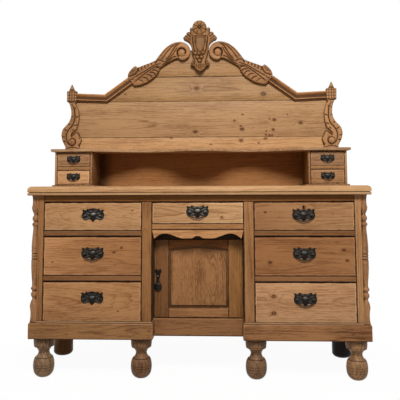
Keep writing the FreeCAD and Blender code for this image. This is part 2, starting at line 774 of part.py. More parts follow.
# ---- butt hinges: five knuckles on a pin, leaves let into partition and door
knuckle_pitch = hinge_height / hinge_knuckles
fixed_leaves, moving_leaves = [], []
for level in hinge_levels:
    low = level - hinge_height / 2
    leaf_z = (low, low + hinge_height)
    pin = Part.makeCylinder(hinge_pin_radius, hinge_height, V(hinge_x, hinge_y, low))
    fixed = [block((recess_x, recess_x + hinge_leaf), (hinge_y, hinge_y + hinge_leaf_width), leaf_z), pin]
    moving = [block((door_x[1] - hinge_leaf, door_x[1]), (hinge_y, hinge_y + hinge_leaf_width), leaf_z)]
    clear_fixed, clear_moving = [], []
    for index in range(hinge_knuckles):
        start = low + index * knuckle_pitch
        knuckle = Part.makeCylinder(hinge_knuckle_radius, knuckle_pitch, V(hinge_x, hinge_y, start))
        room = Part.makeCylinder(
            hinge_knuckle_radius + hinge_joint_gap, knuckle_pitch + 2 * hinge_joint_gap,
            V(hinge_x, hinge_y, start - hinge_joint_gap))
        if index % 2 == 0:
            fixed.append(knuckle)
            clear_moving.append(room)
        else:
            moving.append(knuckle)
            clear_fixed.append(room)
    bore = Part.makeCylinder(hinge_pin_radius + hinge_pin_clearance, hinge_height + 2 * overrun,
                             V(hinge_x, hinge_y, low - overrun))
    fixed_body = joined(fixed[:1] + fixed[2:]).cut(joined(clear_fixed))
    moving_body = joined(moving).cut(joined(clear_moving)).cut(bore)
    fixed_leaves.append(joined([fixed_body, pin]))
    moving_leaves.append(moving_body)
nodes["hinge_leaves_fixed"] = fixed_leaves
nodes["hinge_leaves_door"] = moving_leaves

# ---- pear drop handle near the free edge of the door
drop_x = door_x[0] + drop_inset
drop_y = door_y - drop_pivot_reach
drop_plate_shares = [(0.0, 0.42), (0.30, 0.50), (0.70, 0.56), (0.95, 0.44), (1.0, 0.30),
                     (0.72, 0.20), (0.55, 0.05), (0.50, -0.10), (0.30, -0.26), (0.34, -0.36),
                     (0.16, -0.46), (0.0, -0.50)]
half_plate = [(drop_x + across * drop_plate_width / 2, drop_height + up * drop_plate_height)
              for across, up in drop_plate_shares]
other_plate = [(2 * drop_x - px, pz) for px, pz in half_plate[-2:0:-1]]
plate_face = polygon([(px, door_y, pz) for px, pz in half_plate + other_plate])
lug_pieces = [plate_face.extrude(V(0, -drop_plate_board, 0))]
for side in (-1, 1):
    lug_x = drop_x + side * (drop_eye_width / 2 + handle_pin_clearance * 4 + drop_lug_width / 2)
    lug = Part.makeCylinder(drop_lug_radius, drop_lug_width,
                            V(lug_x - drop_lug_width / 2, drop_y, drop_height), V(1, 0, 0))
    foot = block((lug_x - drop_lug_width / 2, lug_x + drop_lug_width / 2), (drop_y, door_y),
                 (drop_height - drop_lug_radius, drop_height + drop_lug_radius))
    lug_pieces += [lug, foot]
lug_bore = Part.makeCylinder(drop_pin_radius + handle_pin_clearance, drop_plate_width,
                             V(drop_x - drop_plate_width / 2, drop_y, drop_height), V(1, 0, 0))
nodes["door_handle_plate"] = [joined(lug_pieces).cut(lug_bore)]

pear_shares = [(0.095, -0.05), (0.09, -0.20), (0.13, -0.38), (0.24, -0.52), (0.42, -0.64),
               (0.50, -0.78), (0.42, -0.91), (0.22, -0.985), (0.0, -1.0)]
pear_side = [(drop_x + across * drop_width, drop_height + down * drop_length)
             for across, down in pear_shares]
pear_other = [(2 * drop_x - px, pz) for px, pz in reversed(pear_side)]
pear = outline_board([pear_side, pear_other, [pear_other[-1], pear_side[0]]],
                     (drop_y - drop_thickness / 2, drop_y + drop_thickness / 2))
eye = Part.makeCylinder(drop_eye_radius, drop_eye_width,
                        V(drop_x - drop_eye_width / 2, drop_y, drop_height), V(1, 0, 0))
drop_pin = Part.makeCylinder(drop_pin_radius, drop_eye_width + 2 * drop_lug_width,
                             V(drop_x - drop_eye_width / 2 - drop_lug_width, drop_y, drop_height),
                             V(1, 0, 0))
nodes["door_handle_drop"] = [joined([pear, eye, drop_pin])]

# ---- gallery: two cases for the small drawers on thin base boards
small_sides_z = (small_case_z, shelf_z)
case_y = (small_y, panel_y)
small_case = [
    block((small_outer_x, small_open_x[1]), case_y, small_sides_z),
    block((small_inner_x, small_open_x[0]), case_y, small_sides_z),
    block(small_open_x, case_y, (small_case_z, small_low_z[0])),
    block(small_open_x, case_y, (small_low_z[1], small_high_z[0])),
    block(small_open_x, case_y, (small_high_z[1], shelf_z)),
    block((small_inner_x - small_base_inside, small_outer_x + small_base_side),
          (small_y - small_base_front, panel_y), (worktop_z, small_case_z)),
]
nodes["small_drawer_cases"] = both_sides(small_case)

# ---- shelf over the gallery: its front edge has two hollows and a rounded middle
hollow_shares = [(0.0, 0.0), (0.065, 0.06), (0.13, 0.30), (0.20, 0.72), (0.27, 0.92),
                 (0.35, 1.0), (0.42, 0.94), (0.50, 0.70), (0.58, 0.42), (0.65, 0.16), (0.72, 0.0)]
hollow_side = [(shelf_x * across, shelf_y + shelf_hollow * back) for across, back in hollow_shares]
wave = [(-x, y) for x, y in reversed(hollow_side)] + hollow_side[1:]
shelf_edges = [
    curve([(px, py, shelf_z) for px, py in wave]),
    curve([(wave[-1][0], shelf_y, shelf_z), (shelf_x, shelf_y, shelf_z)]),
    curve([(shelf_x, shelf_y, shelf_z), (shelf_x, panel_y, shelf_z)]),
    curve([(shelf_x, panel_y, shelf_z), (-shelf_x, panel_y, shelf_z)]),
    curve([(-shelf_x, panel_y, shelf_z), (-shelf_x, shelf_y, shelf_z)]),
    curve([(-shelf_x, shelf_y, shelf_z), (wave[0][0], shelf_y, shelf_z)]),
]
nodes["gallery_shelf"] = [Part.Face(Part.Wire(shelf_edges)).extrude(V(0, 0, shelf_board))]

# ---- outlines of the gallery back and its carvings are drawn for one shelf length
# and one crest height, and stretched to the sizes in use
def level(height):
    stretch = (crest_height - shelf_top_z) / (outline_head - outline_foot)
    return shelf_top_z + (height - outline_foot) * stretch


def fitted(points):
    return [(x * shelf_x / outline_half_length, level(z)) for x, z in points]


# ---- tall back of the gallery, four boards edge to edge.  Half outline from the
# foot of the side scroll up to the middle
knee_drawn = (570.0, 1482.0)
foot_drawn = (737.0, 1490.0)
head_drawn = (428.0, 1584.0)
knee, moulding_foot, moulding_head = fitted([knee_drawn, foot_drawn, head_drawn])
panel_edge_x = fitted([(panel_half_width, outline_foot)])[0][0]
crest_edge = [(395.0, 1622.0), (330.0, 1640.0), (268.0, 1668.0), (243.0, 1700.0),
              (190.0, 1750.0), (124.0, 1778.0), (72.0, 1746.0)]
panel_foot_z = worktop_z
half_panel = [
    (small_outer_x, panel_foot_z), (small_outer_x, shelf_top_z), (panel_edge_x, shelf_top_z),
    (panel_edge_x, moulding_foot[1]), moulding_foot, knee, moulding_head,
] + fitted(crest_edge)
full_panel = half_panel + [(-x, z) for x, z in reversed(half_panel)]
panel_sheet = polygon([(x, panel_y, z) for x, z in full_panel]).extrude(V(0, panel_thickness, 0))
joint_levels = [worktop_z, level(panel_low_joint_height), level(panel_joint_height),
                level(crest_joint_height), crest_height]
nodes["back_panel"] = [
    panel_sheet.common(block((-worktop_width, worktop_width), (panel_y - overrun, back_y + overrun), pair))
    for pair in zip(joint_levels, joint_levels[1:])]

# ---- moulding along the shoulders of the back, mitred at the knee.  Section as
# shares of its reach and height, with arcs where three points are given
section_stretches_shares = [
    [(0.0, 0.0), (1.0, 0.0)], [(1.0, 0.0), (1.0, -0.14)], [(1.0, -0.14), (0.84, -0.22)],
    [(0.84, -0.22), (0.58, -0.36), (0.50, -0.62)], [(0.50, -0.62), (0.62, -0.70)],
    [(0.62, -0.70), (0.66, -0.78), (0.56, -0.84)], [(0.56, -0.84), (0.40, -0.86)],
    [(0.40, -0.86), (0.36, -1.0)], [(0.36, -1.0), (0.0, -1.0)], [(0.0, -1.0), (0.0, 0.0)]]


def unit(a, b):
    length = math.hypot(b[0] - a[0], b[1] - a[1])
    return ((b[0] - a[0]) / length, (b[1] - a[1]) / length)


def mitre_point(corner, incoming, outgoing, drop):
    """Where a line parallel to the path, a given drop below it, turns a corner."""
    total = (incoming[0] + outgoing[0], incoming[1] + outgoing[1])
    size = math.hypot(*total)
    along = (total[0] / size, total[1] / size)
    normal = (-along[1], along[0])
    cosine = along[0] * outgoing[0] + along[1] * outgoing[1]
    return (corner[0] + normal[0] * drop / cosine, corner[1] + normal[1] * drop / cosine)


def moulding_run(path):
    """Sections at every corner of the path, joined by ruled runs."""
    directions = [unit(a, b) for a, b in zip(path, path[1:])]
    wires = []
    for index, corner in enumerate(path):
        incoming = directions[max(index - 1, 0)]
        outgoing = directions[min(index, len(directions) - 1)]
        edges = []
        for stretch in section_stretches_shares:
            points = []
            for reach_share, drop_share in stretch:
                px, pz = mitre_point(corner, incoming, outgoing, -drop_share * moulding_height)
                points.append((px, panel_y - reach_share * moulding_reach, pz))
            edges.append(curve(points))
        wires.append(Part.Wire(edges))
    return [Part.makeLoft([first, second], True, True) for first, second in zip(wires, wires[1:])]


moulding = joined(moulding_run([moulding_foot, knee, moulding_head]))

# ---- carved scroll and leaf on each slope of the crest, in stretches between corners
scroll_outline = [
    [(263.0, 1684.0), (293.0, 1671.0), (331.0, 1657.0), (371.0, 1642.0)],
    [(371.0, 1642.0), (382.0, 1651.0), (394.0, 1646.0), (408.0, 1633.0), (423.0, 1614.0),
     (430.0, 1590.0), (420.0, 1566.0)],
    [(420.0, 1566.0), (406.0, 1552.0), (392.0, 1533.0)],
    [(392.0, 1533.0), (358.0, 1536.0), (323.0, 1548.0), (292.0, 1566.0), (268.0, 1584.0),
     (252.0, 1603.0), (241.0, 1622.0), (232.0, 1642.0)],
    [(232.0, 1642.0), (190.0, 1668.0), (150.0, 1689.0), (129.0, 1696.0)],
    [(129.0, 1696.0), (108.0, 1683.0), (86.0, 1686.0), (66.0, 1701.0), (57.0, 1720.0),
     (55.0, 1740.0), (61.0, 1761.0), (77.0, 1780.0), (99.0, 1791.0), (124.0, 1794.0),
     (157.0, 1787.0), (187.0, 1771.0), (214.0, 1748.0), (238.0, 1719.0), (263.0, 1684.0)],
]
crest_y = (panel_y - crest_thickness, panel_y)
crest_scroll = outline_board([fitted(stretch) for stretch in scroll_outline], crest_y)
crest_scrolls = [scroll.translated(V(crest_shift, 0, 0)) for scroll in both_sides([crest_scroll])]
nodes["crest_scrolls"] = crest_scrolls

# ---- carved cartouche in the middle: leafy body, round rosette on top, grapes
cartouche_half = [(0.0, 1902.0), (38.0, 1871.0), (53.0, 1877.0), (60.0, 1871.0), (60.0, 1849.0),
                  (78.0, 1849.0), (80.0, 1834.0), (87.0, 1832.0), (101.0, 1815.0), (94.0, 1803.0),
                  (80.0, 1796.0), (65.0, 1784.0), (55.0, 1769.0), (50.0, 1745.0), (46.0, 1725.0),
                  (41.0, 1707.0), (38.0, 1690.0), (43.0, 1680.0), (57.0, 1659.0), (50.0, 1648.0),
                  (37.0, 1644.0), (20.0, 1621.0), (0.0, 1609.0)]
cartouche_full = cartouche_half + [(-x, z) for x, z in cartouche_half[-2:0:-1]]
cartouche = polygon([(x, panel_y, z) for x, z in fitted(cartouche_full)]).extrude(
    V(0, -cartouche_reach, 0))
rosette = Part.makeCylinder(rosette_radius, rosette_reach,
                            V(crest_shift, panel_y, crest_height - rosette_radius), V(0, -1, 0))
grape_places = [(-28.0, 1719.0), (-5.0, 1718.0), (18.0, 1722.0), (-16.0, 1695.0), (8.0, 1695.0),
                (-3.0, 1674.0)]
grapes = [Part.makeSphere(grape_radius, V(x, panel_y - cartouche_reach, z))
          for x, z in fitted(grape_places)]
nodes["crest_cartouche"] = [joined([cartouche, rosette] + grapes)]

# ---- side scrolls: carved S with a beaded block and a small turned point on top
side_outline = [
    [(708.0, outline_foot), (806.0, outline_foot)],
    [(806.0, outline_foot), (800.0, 1172.0)],
    [(800.0, 1172.0), (808.0, 1187.0), (818.0, 1207.0), (825.0, 1232.0), (825.0, 1255.0),
     (818.0, 1278.0), (804.0, 1295.0), (789.0, 1311.0), (778.0, 1329.0), (771.0, 1351.0),
     (769.0, 1375.0), (772.0, 1400.0), (778.0, 1421.0), (785.0, 1436.0)],
    [(785.0, 1436.0), (796.0, 1442.0)], [(796.0, 1442.0), (797.0, 1503.0)],
    [(797.0, 1503.0), (784.0, 1511.0)], [(784.0, 1511.0), (777.0, 1529.0), (769.0, 1546.0)],
    [(769.0, 1546.0), (761.0, 1529.0), (753.0, 1511.0)], [(753.0, 1511.0), (737.0, 1503.0)],
    [(737.0, 1503.0), (737.0, 1442.0)], [(737.0, 1442.0), (746.0, 1430.0)],
    [(746.0, 1430.0), (737.0, 1414.0), (730.0, 1396.0), (725.0, 1376.0), (722.0, 1353.0),
     (724.0, 1326.0), (729.0, 1301.0), (738.0, 1272.0)],
    [(738.0, 1272.0), (726.0, 1256.0), (718.0, 1240.0), (707.0, 1216.0)],
    [(707.0, 1216.0), (712.0, 1197.0), (723.0, 1178.0)],
    [(723.0, 1178.0), (708.0, outline_foot)],
]
side_y = (panel_y - side_scroll_thickness, panel_y)
side_scroll = outline_board([fitted(stretch) for stretch in side_outline], side_y)
nodes["side_scrolls"] = both_sides([side_scroll])

# the moulding stops against both carvings
nodes["crest_moulding"] = [length.cut(scroll) for length, scroll in zip(
    both_sides([moulding.cut(side_scroll)]), crest_scrolls)]

for name, solids in nodes.items():
    whole = []
    for solid in solids:
        whole += solid.Solids
    for solid in whole:
        if not solid.isValid() or solid.Volume <= 0:
            print("check", name, solid.isValid(), round(solid.Volume))
    Part.makeCompound(whole).exportStep("parts/%s.step" % name)
print(len(nodes), "nodes", sum(len(s) for s in nodes.values()), "solids")
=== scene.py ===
import math
import random

import bmesh
import bpy
import numpy as np
from mathutils import Matrix, Vector
from mathutils.geometry import delaunay_2d_cdt


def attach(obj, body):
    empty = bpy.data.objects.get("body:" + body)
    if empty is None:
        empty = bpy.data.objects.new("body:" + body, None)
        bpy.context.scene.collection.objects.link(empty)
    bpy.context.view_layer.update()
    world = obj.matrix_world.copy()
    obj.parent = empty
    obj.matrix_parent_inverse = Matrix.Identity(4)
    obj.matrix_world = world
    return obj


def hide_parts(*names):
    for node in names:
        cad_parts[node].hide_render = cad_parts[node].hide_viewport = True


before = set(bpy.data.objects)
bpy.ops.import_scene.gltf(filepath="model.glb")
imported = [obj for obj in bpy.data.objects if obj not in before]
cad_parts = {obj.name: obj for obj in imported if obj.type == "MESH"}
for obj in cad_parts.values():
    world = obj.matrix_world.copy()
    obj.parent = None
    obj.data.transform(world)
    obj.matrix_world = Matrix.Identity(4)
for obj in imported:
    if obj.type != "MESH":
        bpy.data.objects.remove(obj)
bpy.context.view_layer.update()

# Studio
# The sideboard stands alone on a plain pale floor with nothing behind it.  One soft
# lamp stands high in front of it, above the camera, and the room's white walls fill the
# rest.
lens_place = Vector((0.1151, -3.0094, 0.9328))
turned_left, tilted_up, leaning = 0.0433, 0.0908, -0.0037
level_right = Vector((math.cos(turned_left), math.sin(turned_left), 0.0))
level_ahead = Vector((-math.sin(turned_left), math.cos(turned_left), 0.0))
ahead = level_ahead * math.cos(tilted_up) + Vector((0, 0, math.sin(tilted_up)))
upward = Vector((0, 0, math.cos(tilted_up))) - level_ahead * math.sin(tilted_up)
right = level_right * math.cos(leaning) + upward * math.sin(leaning)
upward = upward * math.cos(leaning) - level_right * math.sin(leaning)


def in_scene(name, data):
    """A new object of the scene that shows a mesh, a lamp or a lens."""
    thing = bpy.data.objects.new(name, data)
    bpy.context.scene.collection.objects.link(thing)
    return thing


photo_lens = bpy.data.cameras.new("photo_lens")
photo_lens.lens = 49.906
photo_lens.sensor_width = 36.0
photo_lens.shift_x = 0.0095
photo_lens.shift_y = -0.1578
photo_lens.clip_start = 0.05
photo_camera = in_scene("photo_camera", photo_lens)
photo_camera.matrix_world = Matrix.Translation(lens_place) @ Matrix(
    (right, upward, -ahead)).transposed().to_4x4()
bpy.context.scene.camera = photo_camera
bpy.context.scene.view_settings.view_transform = "Standard"

lamp_place = Vector((0.35, -3.9, 4.35))
lamp_aim = Vector((0.0, 0.0, 0.9))
soft_light = bpy.data.lights.new("high_lamp", "AREA")
soft_light.shape = "SQUARE"
soft_light.size = 1.45
soft_light.energy = 275.0
soft_light.color = (1.0, 0.985, 0.97)
high_lamp = in_scene("high_lamp", soft_light)
high_lamp.location = lamp_place
high_lamp.rotation_euler = (lamp_aim - lamp_place).to_track_quat("-Z", "Y").to_euler()


def step(tree, kind, inputs=(), **settings):
    """One node of a finish: its settings, then its inputs as numbers or links."""
    node = tree.nodes.new(kind)
    for name, value in settings.items():
        setattr(node, name, value)
    pairs = inputs.items() if isinstance(inputs, dict) else enumerate(inputs)
    for socket, value in pairs:
        if isinstance(value, bpy.types.NodeSocket):
            tree.links.new(value, node.inputs[socket])
        elif value is not None:
            node.inputs[socket].default_value = value
    return node


def sum_of(tree, how, *values):
    """The result of one calculation with numbers or links."""
    return step(tree, "ShaderNodeMath", values, operation=how).outputs[0]


def seen_directly(tree):
    """1 where the lens, a shiny surface or glass looks at the surface, 0 for its light."""
    path = step(tree, "ShaderNodeLightPath").outputs
    either = sum_of(tree, "MAXIMUM", path["Is Camera Ray"], path["Is Glossy Ray"])
    return sum_of(tree, "MAXIMUM", either, path["Is Transmission Ray"])


def blank_finish(name):
    """A new material with nothing in its node tree, and that tree."""
    finish = bpy.data.materials.new(name)
    finish.use_nodes = True
    finish.node_tree.nodes.clear()
    return finish, finish.node_tree


room = bpy.data.worlds.new("white_room")
bpy.context.scene.world = room
room.use_nodes = True
room.node_tree.nodes.clear()
white_wall = step(room.node_tree, "ShaderNodeBackground", [(1.0, 1.0, 1.0, 1.0), 1.0])
room_fill = step(room.node_tree, "ShaderNodeBackground", [(1.0, 0.90, 0.78, 1.0), 0.09])
wall_or_fill = step(room.node_tree, "ShaderNodeMixShader",
                    [seen_directly(room.node_tree), room_fill.outputs[0], white_wall.outputs[0]])
step(room.node_tree, "ShaderNodeOutputWorld", [wall_or_fill.outputs[0]])

floor_reach = 9.0
floor_skin = bpy.data.meshes.new("studio_floor")
floor_skin.from_pydata(
    [(-floor_reach, -floor_reach, 0), (floor_reach, -floor_reach, 0),
     (floor_reach, floor_reach, 0), (-floor_reach, floor_reach, 0)], [], [(0, 1, 2, 3)])
studio_floor = in_scene("studio_floor", floor_skin)
floor_paint, tree = blank_finish("floor_paint")
floor_place = step(tree, "ShaderNodeTexCoord").outputs["Object"]
floor_place = step(tree, "ShaderNodeVectorMath", [floor_place, (0.55, 1.0, 1.0)],
                   operation="MULTIPLY").outputs[0]
away = step(tree, "ShaderNodeVectorMath", [floor_place], operation="LENGTH").outputs["Value"]
fading = step(tree, "ShaderNodeMapRange", [away, 0.35, 1.00, 0.955, 1.0],
              interpolation_type="SMOOTHSTEP").outputs[0]
mottle = step(tree, "ShaderNodeTexNoise", {"Scale": 6.0, "Detail": 4.0}).outputs[0]
mottle = step(tree, "ShaderNodeMapRange", [mottle, 0.3, 0.7, 0.86, 0.90]).outputs[0]
paint = step(tree, "ShaderNodeBsdfDiffuse",
             [step(tree, "ShaderNodeCombineColor", [mottle, mottle, mottle]).outputs[0], 0.5])
bright = step(tree, "ShaderNodeEmission", [(1.0, 1.0, 1.0, 1.0), 1.0])
share = sum_of(tree, "MULTIPLY", seen_directly(tree), fading)
step(tree, "ShaderNodeOutputMaterial", [step(
    tree, "ShaderNodeMixShader", [share, paint.outputs[0], bright.outputs[0]]).outputs[0]])
floor_skin.materials.append(floor_paint)

# Worktop
# One thick slab of pine across the whole base.  Its edge is planed to a round nose
# over a sunk line and a thin lip, and it is screwed down from inside the case.


def boards_of(node):
    """The separate boards of a piece: each run of faces that closes on itself."""
    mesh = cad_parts[node].data
    places, number = {}, []
    for vertex in mesh.vertices:
        place = tuple(round(value, 6) for value in vertex.co)
        number.append(places.setdefault(place, len(places)))
    corners = list(places)
    boards, faces, unpaired = [], [], set()
    for polygon in mesh.polygons:
        face = [number[v] for v in polygon.vertices]
        if len(set(face)) < len(face):
            continue
        faces.append(face)
        for edge in zip(face, face[1:] + face[:1]):
            if edge[::-1] in unpaired:
                unpaired.discard(edge[::-1])
            else:
                unpaired.add(edge)
        if not unpaired:
            used = sorted({v for one in faces for v in one})
            order = {v: i for i, v in enumerate(used)}
            boards.append(([corners[v] for v in used], [[order[v] for v in one] for one in faces]))
            faces = []
    return boards


def opened(places, faces):
    """A shape to work on.  A face that is there already is left out."""
    shape = bmesh.new()
    corners = [shape.verts.new(place) for place in places]
    for face in faces:
        try:
            shape.faces.new([corners[v] for v in face])
        except ValueError:
            pass
    return shape


def closed(shape):
    """Corners and faces of a shape when the work on it is done."""
    shape.verts.index_update()
    places = np.array([vert.co for vert in shape.verts])
    faces = [[vert.index for vert in face.verts] for face in shape.faces]
    shape.free()
    return places, faces


def eased(board, width):
    """A sawn board with its flat faces whole and its sharp corners rubbed round."""
    shape = opened(*board)
    shape.normal_update()
    bmesh.ops.dissolve_limit(shape, angle_limit=math.radians(0.4), verts=shape.verts,
                             edges=shape.edges, delimit=set())
    if width:
        sharp = [edge for edge in shape.edges
                 if len(edge.link_faces) == 2 and edge.calc_face_angle(0.0) > math.radians(24)]
        bmesh.ops.bevel(shape, geom=sharp, offset=width, offset_type="OFFSET", segments=2,
                        profile=0.6, affect="EDGES", clamp_overlap=True)
    bmesh.ops.recalc_face_normals(shape, faces=shape.faces)
    return closed(shape)


def sliced(places, faces, levels):
    """The same shape with extra corners where level planes cross it."""
    shape = opened(places, faces)
    for height in levels:
        bmesh.ops.bisect_plane(shape, geom=shape.verts[:] + shape.edges[:] + shape.faces[:],
                               plane_co=(0, 0, height), plane_no=(0, 0, 1))
    return closed(shape)


def wood_marks(places, chance, grain="", heart=None):
    """Where every point lies in its log, measured from the heart and along the grain, where it
    lies from the board's middle, and half the board's size.  A heart is its offset across and
    through the board, and how fast it drifts each way along it."""
    low, high = places.min(0), places.max(0)
    size = high - low
    along = "xyz".index(grain) if grain else int(np.argmax(size))
    others = [axis for axis in range(3) if axis != along]
    across, through = sorted(others, key=lambda axis: -size[axis])
    local = (places - (low + high) / 2)[:, [along, across, through]]
    half = (size / 2)[[along, across, through]]
    if heart is None:
        heart = (chance.uniform(-0.6, 0.6) * half[1], chance.uniform(0.03, 0.075),
                 chance.uniform(-0.02, 0.02), chance.uniform(-0.03, 0.03))
    rings = local.copy()
    rings[:, 0] += chance.uniform(-40.0, 40.0)
    rings[:, 1] -= heart[0] + heart[2] * local[:, 0]
    rings[:, 2] -= heart[1] + heart[3] * local[:, 0]
    return rings, local, half


def mounted(name, skin, sharp, body, replaced):
    """A skin as a piece of the scene, smooth up to its sharp edges, in place of some nodes."""
    skin.polygons.foreach_set("use_smooth", [True] * len(skin.polygons))
    skin.set_sharp_from_angle(angle=math.radians(sharp))
    piece = in_scene(name, skin)
    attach(piece, body)
    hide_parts(*replaced)


def wooden(name, parts, finishes, body, replaced, smooth=28.0):
    """One piece from its parts, each (places, faces, rings, local, half, tint, hollow).
    With several finishes, part after part takes the next one."""
    places, faces, finish_of, start = [], [], [], 0
    for index, part in enumerate(parts):
        places.append(part[0])
        faces += [[v + start for v in face] for face in part[1]]
        finish_of += [min(index, len(finishes) - 1)] * len(part[1])
        start += len(part[0])
    skin = bpy.data.meshes.new(name)
    skin.from_pydata(np.concatenate(places).tolist(), [], faces)
    for index, mark in ((2, "rings"), (3, "place"), (4, "reach"), (5, "tint")):
        values = np.concatenate([np.ones((len(part[0]), 3)) * part[index] for part in parts])
        skin.attributes.new(mark, "FLOAT_VECTOR", "POINT").data.foreach_set(
            "vector", values.astype(np.float32).ravel())
    hollows = np.concatenate([np.ones(len(part[0])) * part[6] for part in parts])
    skin.attributes.new("hollow", "FLOAT", "POINT").data.foreach_set(
        "value", hollows.astype(np.float32))
    for finish in finishes:
        skin.materials.append(finish)
    skin.polygons.foreach_set("material_index", finish_of)
    mounted(name, skin, smooth, body, replaced)


def boarded(node, finish, body="cabinet", edge=0.0012, grain="", tints=(1.0,), hearts=(None,),
            dirt_and_shade=None, smooth=28.0, levels=()):
    """A piece made of sawn boards, each with its own stretch of grain and its own tint, or two
    tints from its left end to its right.  Corners are rubbed by `edge`, a function gives how
    black each point is with dirt and painted shade, and at some levels the boards get extra
    corners for it."""
    chance = random.Random(node)
    parts = []
    for index, board in enumerate(boards_of(node)):
        places, faces = eased(board, edge[index % len(edge)] if isinstance(edge, tuple) else edge)
        if len(levels):
            places, faces = sliced(places, faces, levels)
        way = grain[index % len(grain)] if grain else ""
        rings, local, half = wood_marks(places, chance, way, hearts[index % len(hearts)])
        tint = np.array(tints[index % len(tints)])
        if tint.ndim == 2:
            share = (places[:, :1] - places[:, 0].min()) / np.ptp(places[:, 0])
            tint = tint[0] + share * (tint[1] - tint[0])
        parts.append((places, faces, rings, local, half, tint, dirt_and_shade(places) if dirt_and_shade else 0.0))
    wooden(node.replace("_", ".") + ".wood", parts, [finish], body, (node,), smooth)


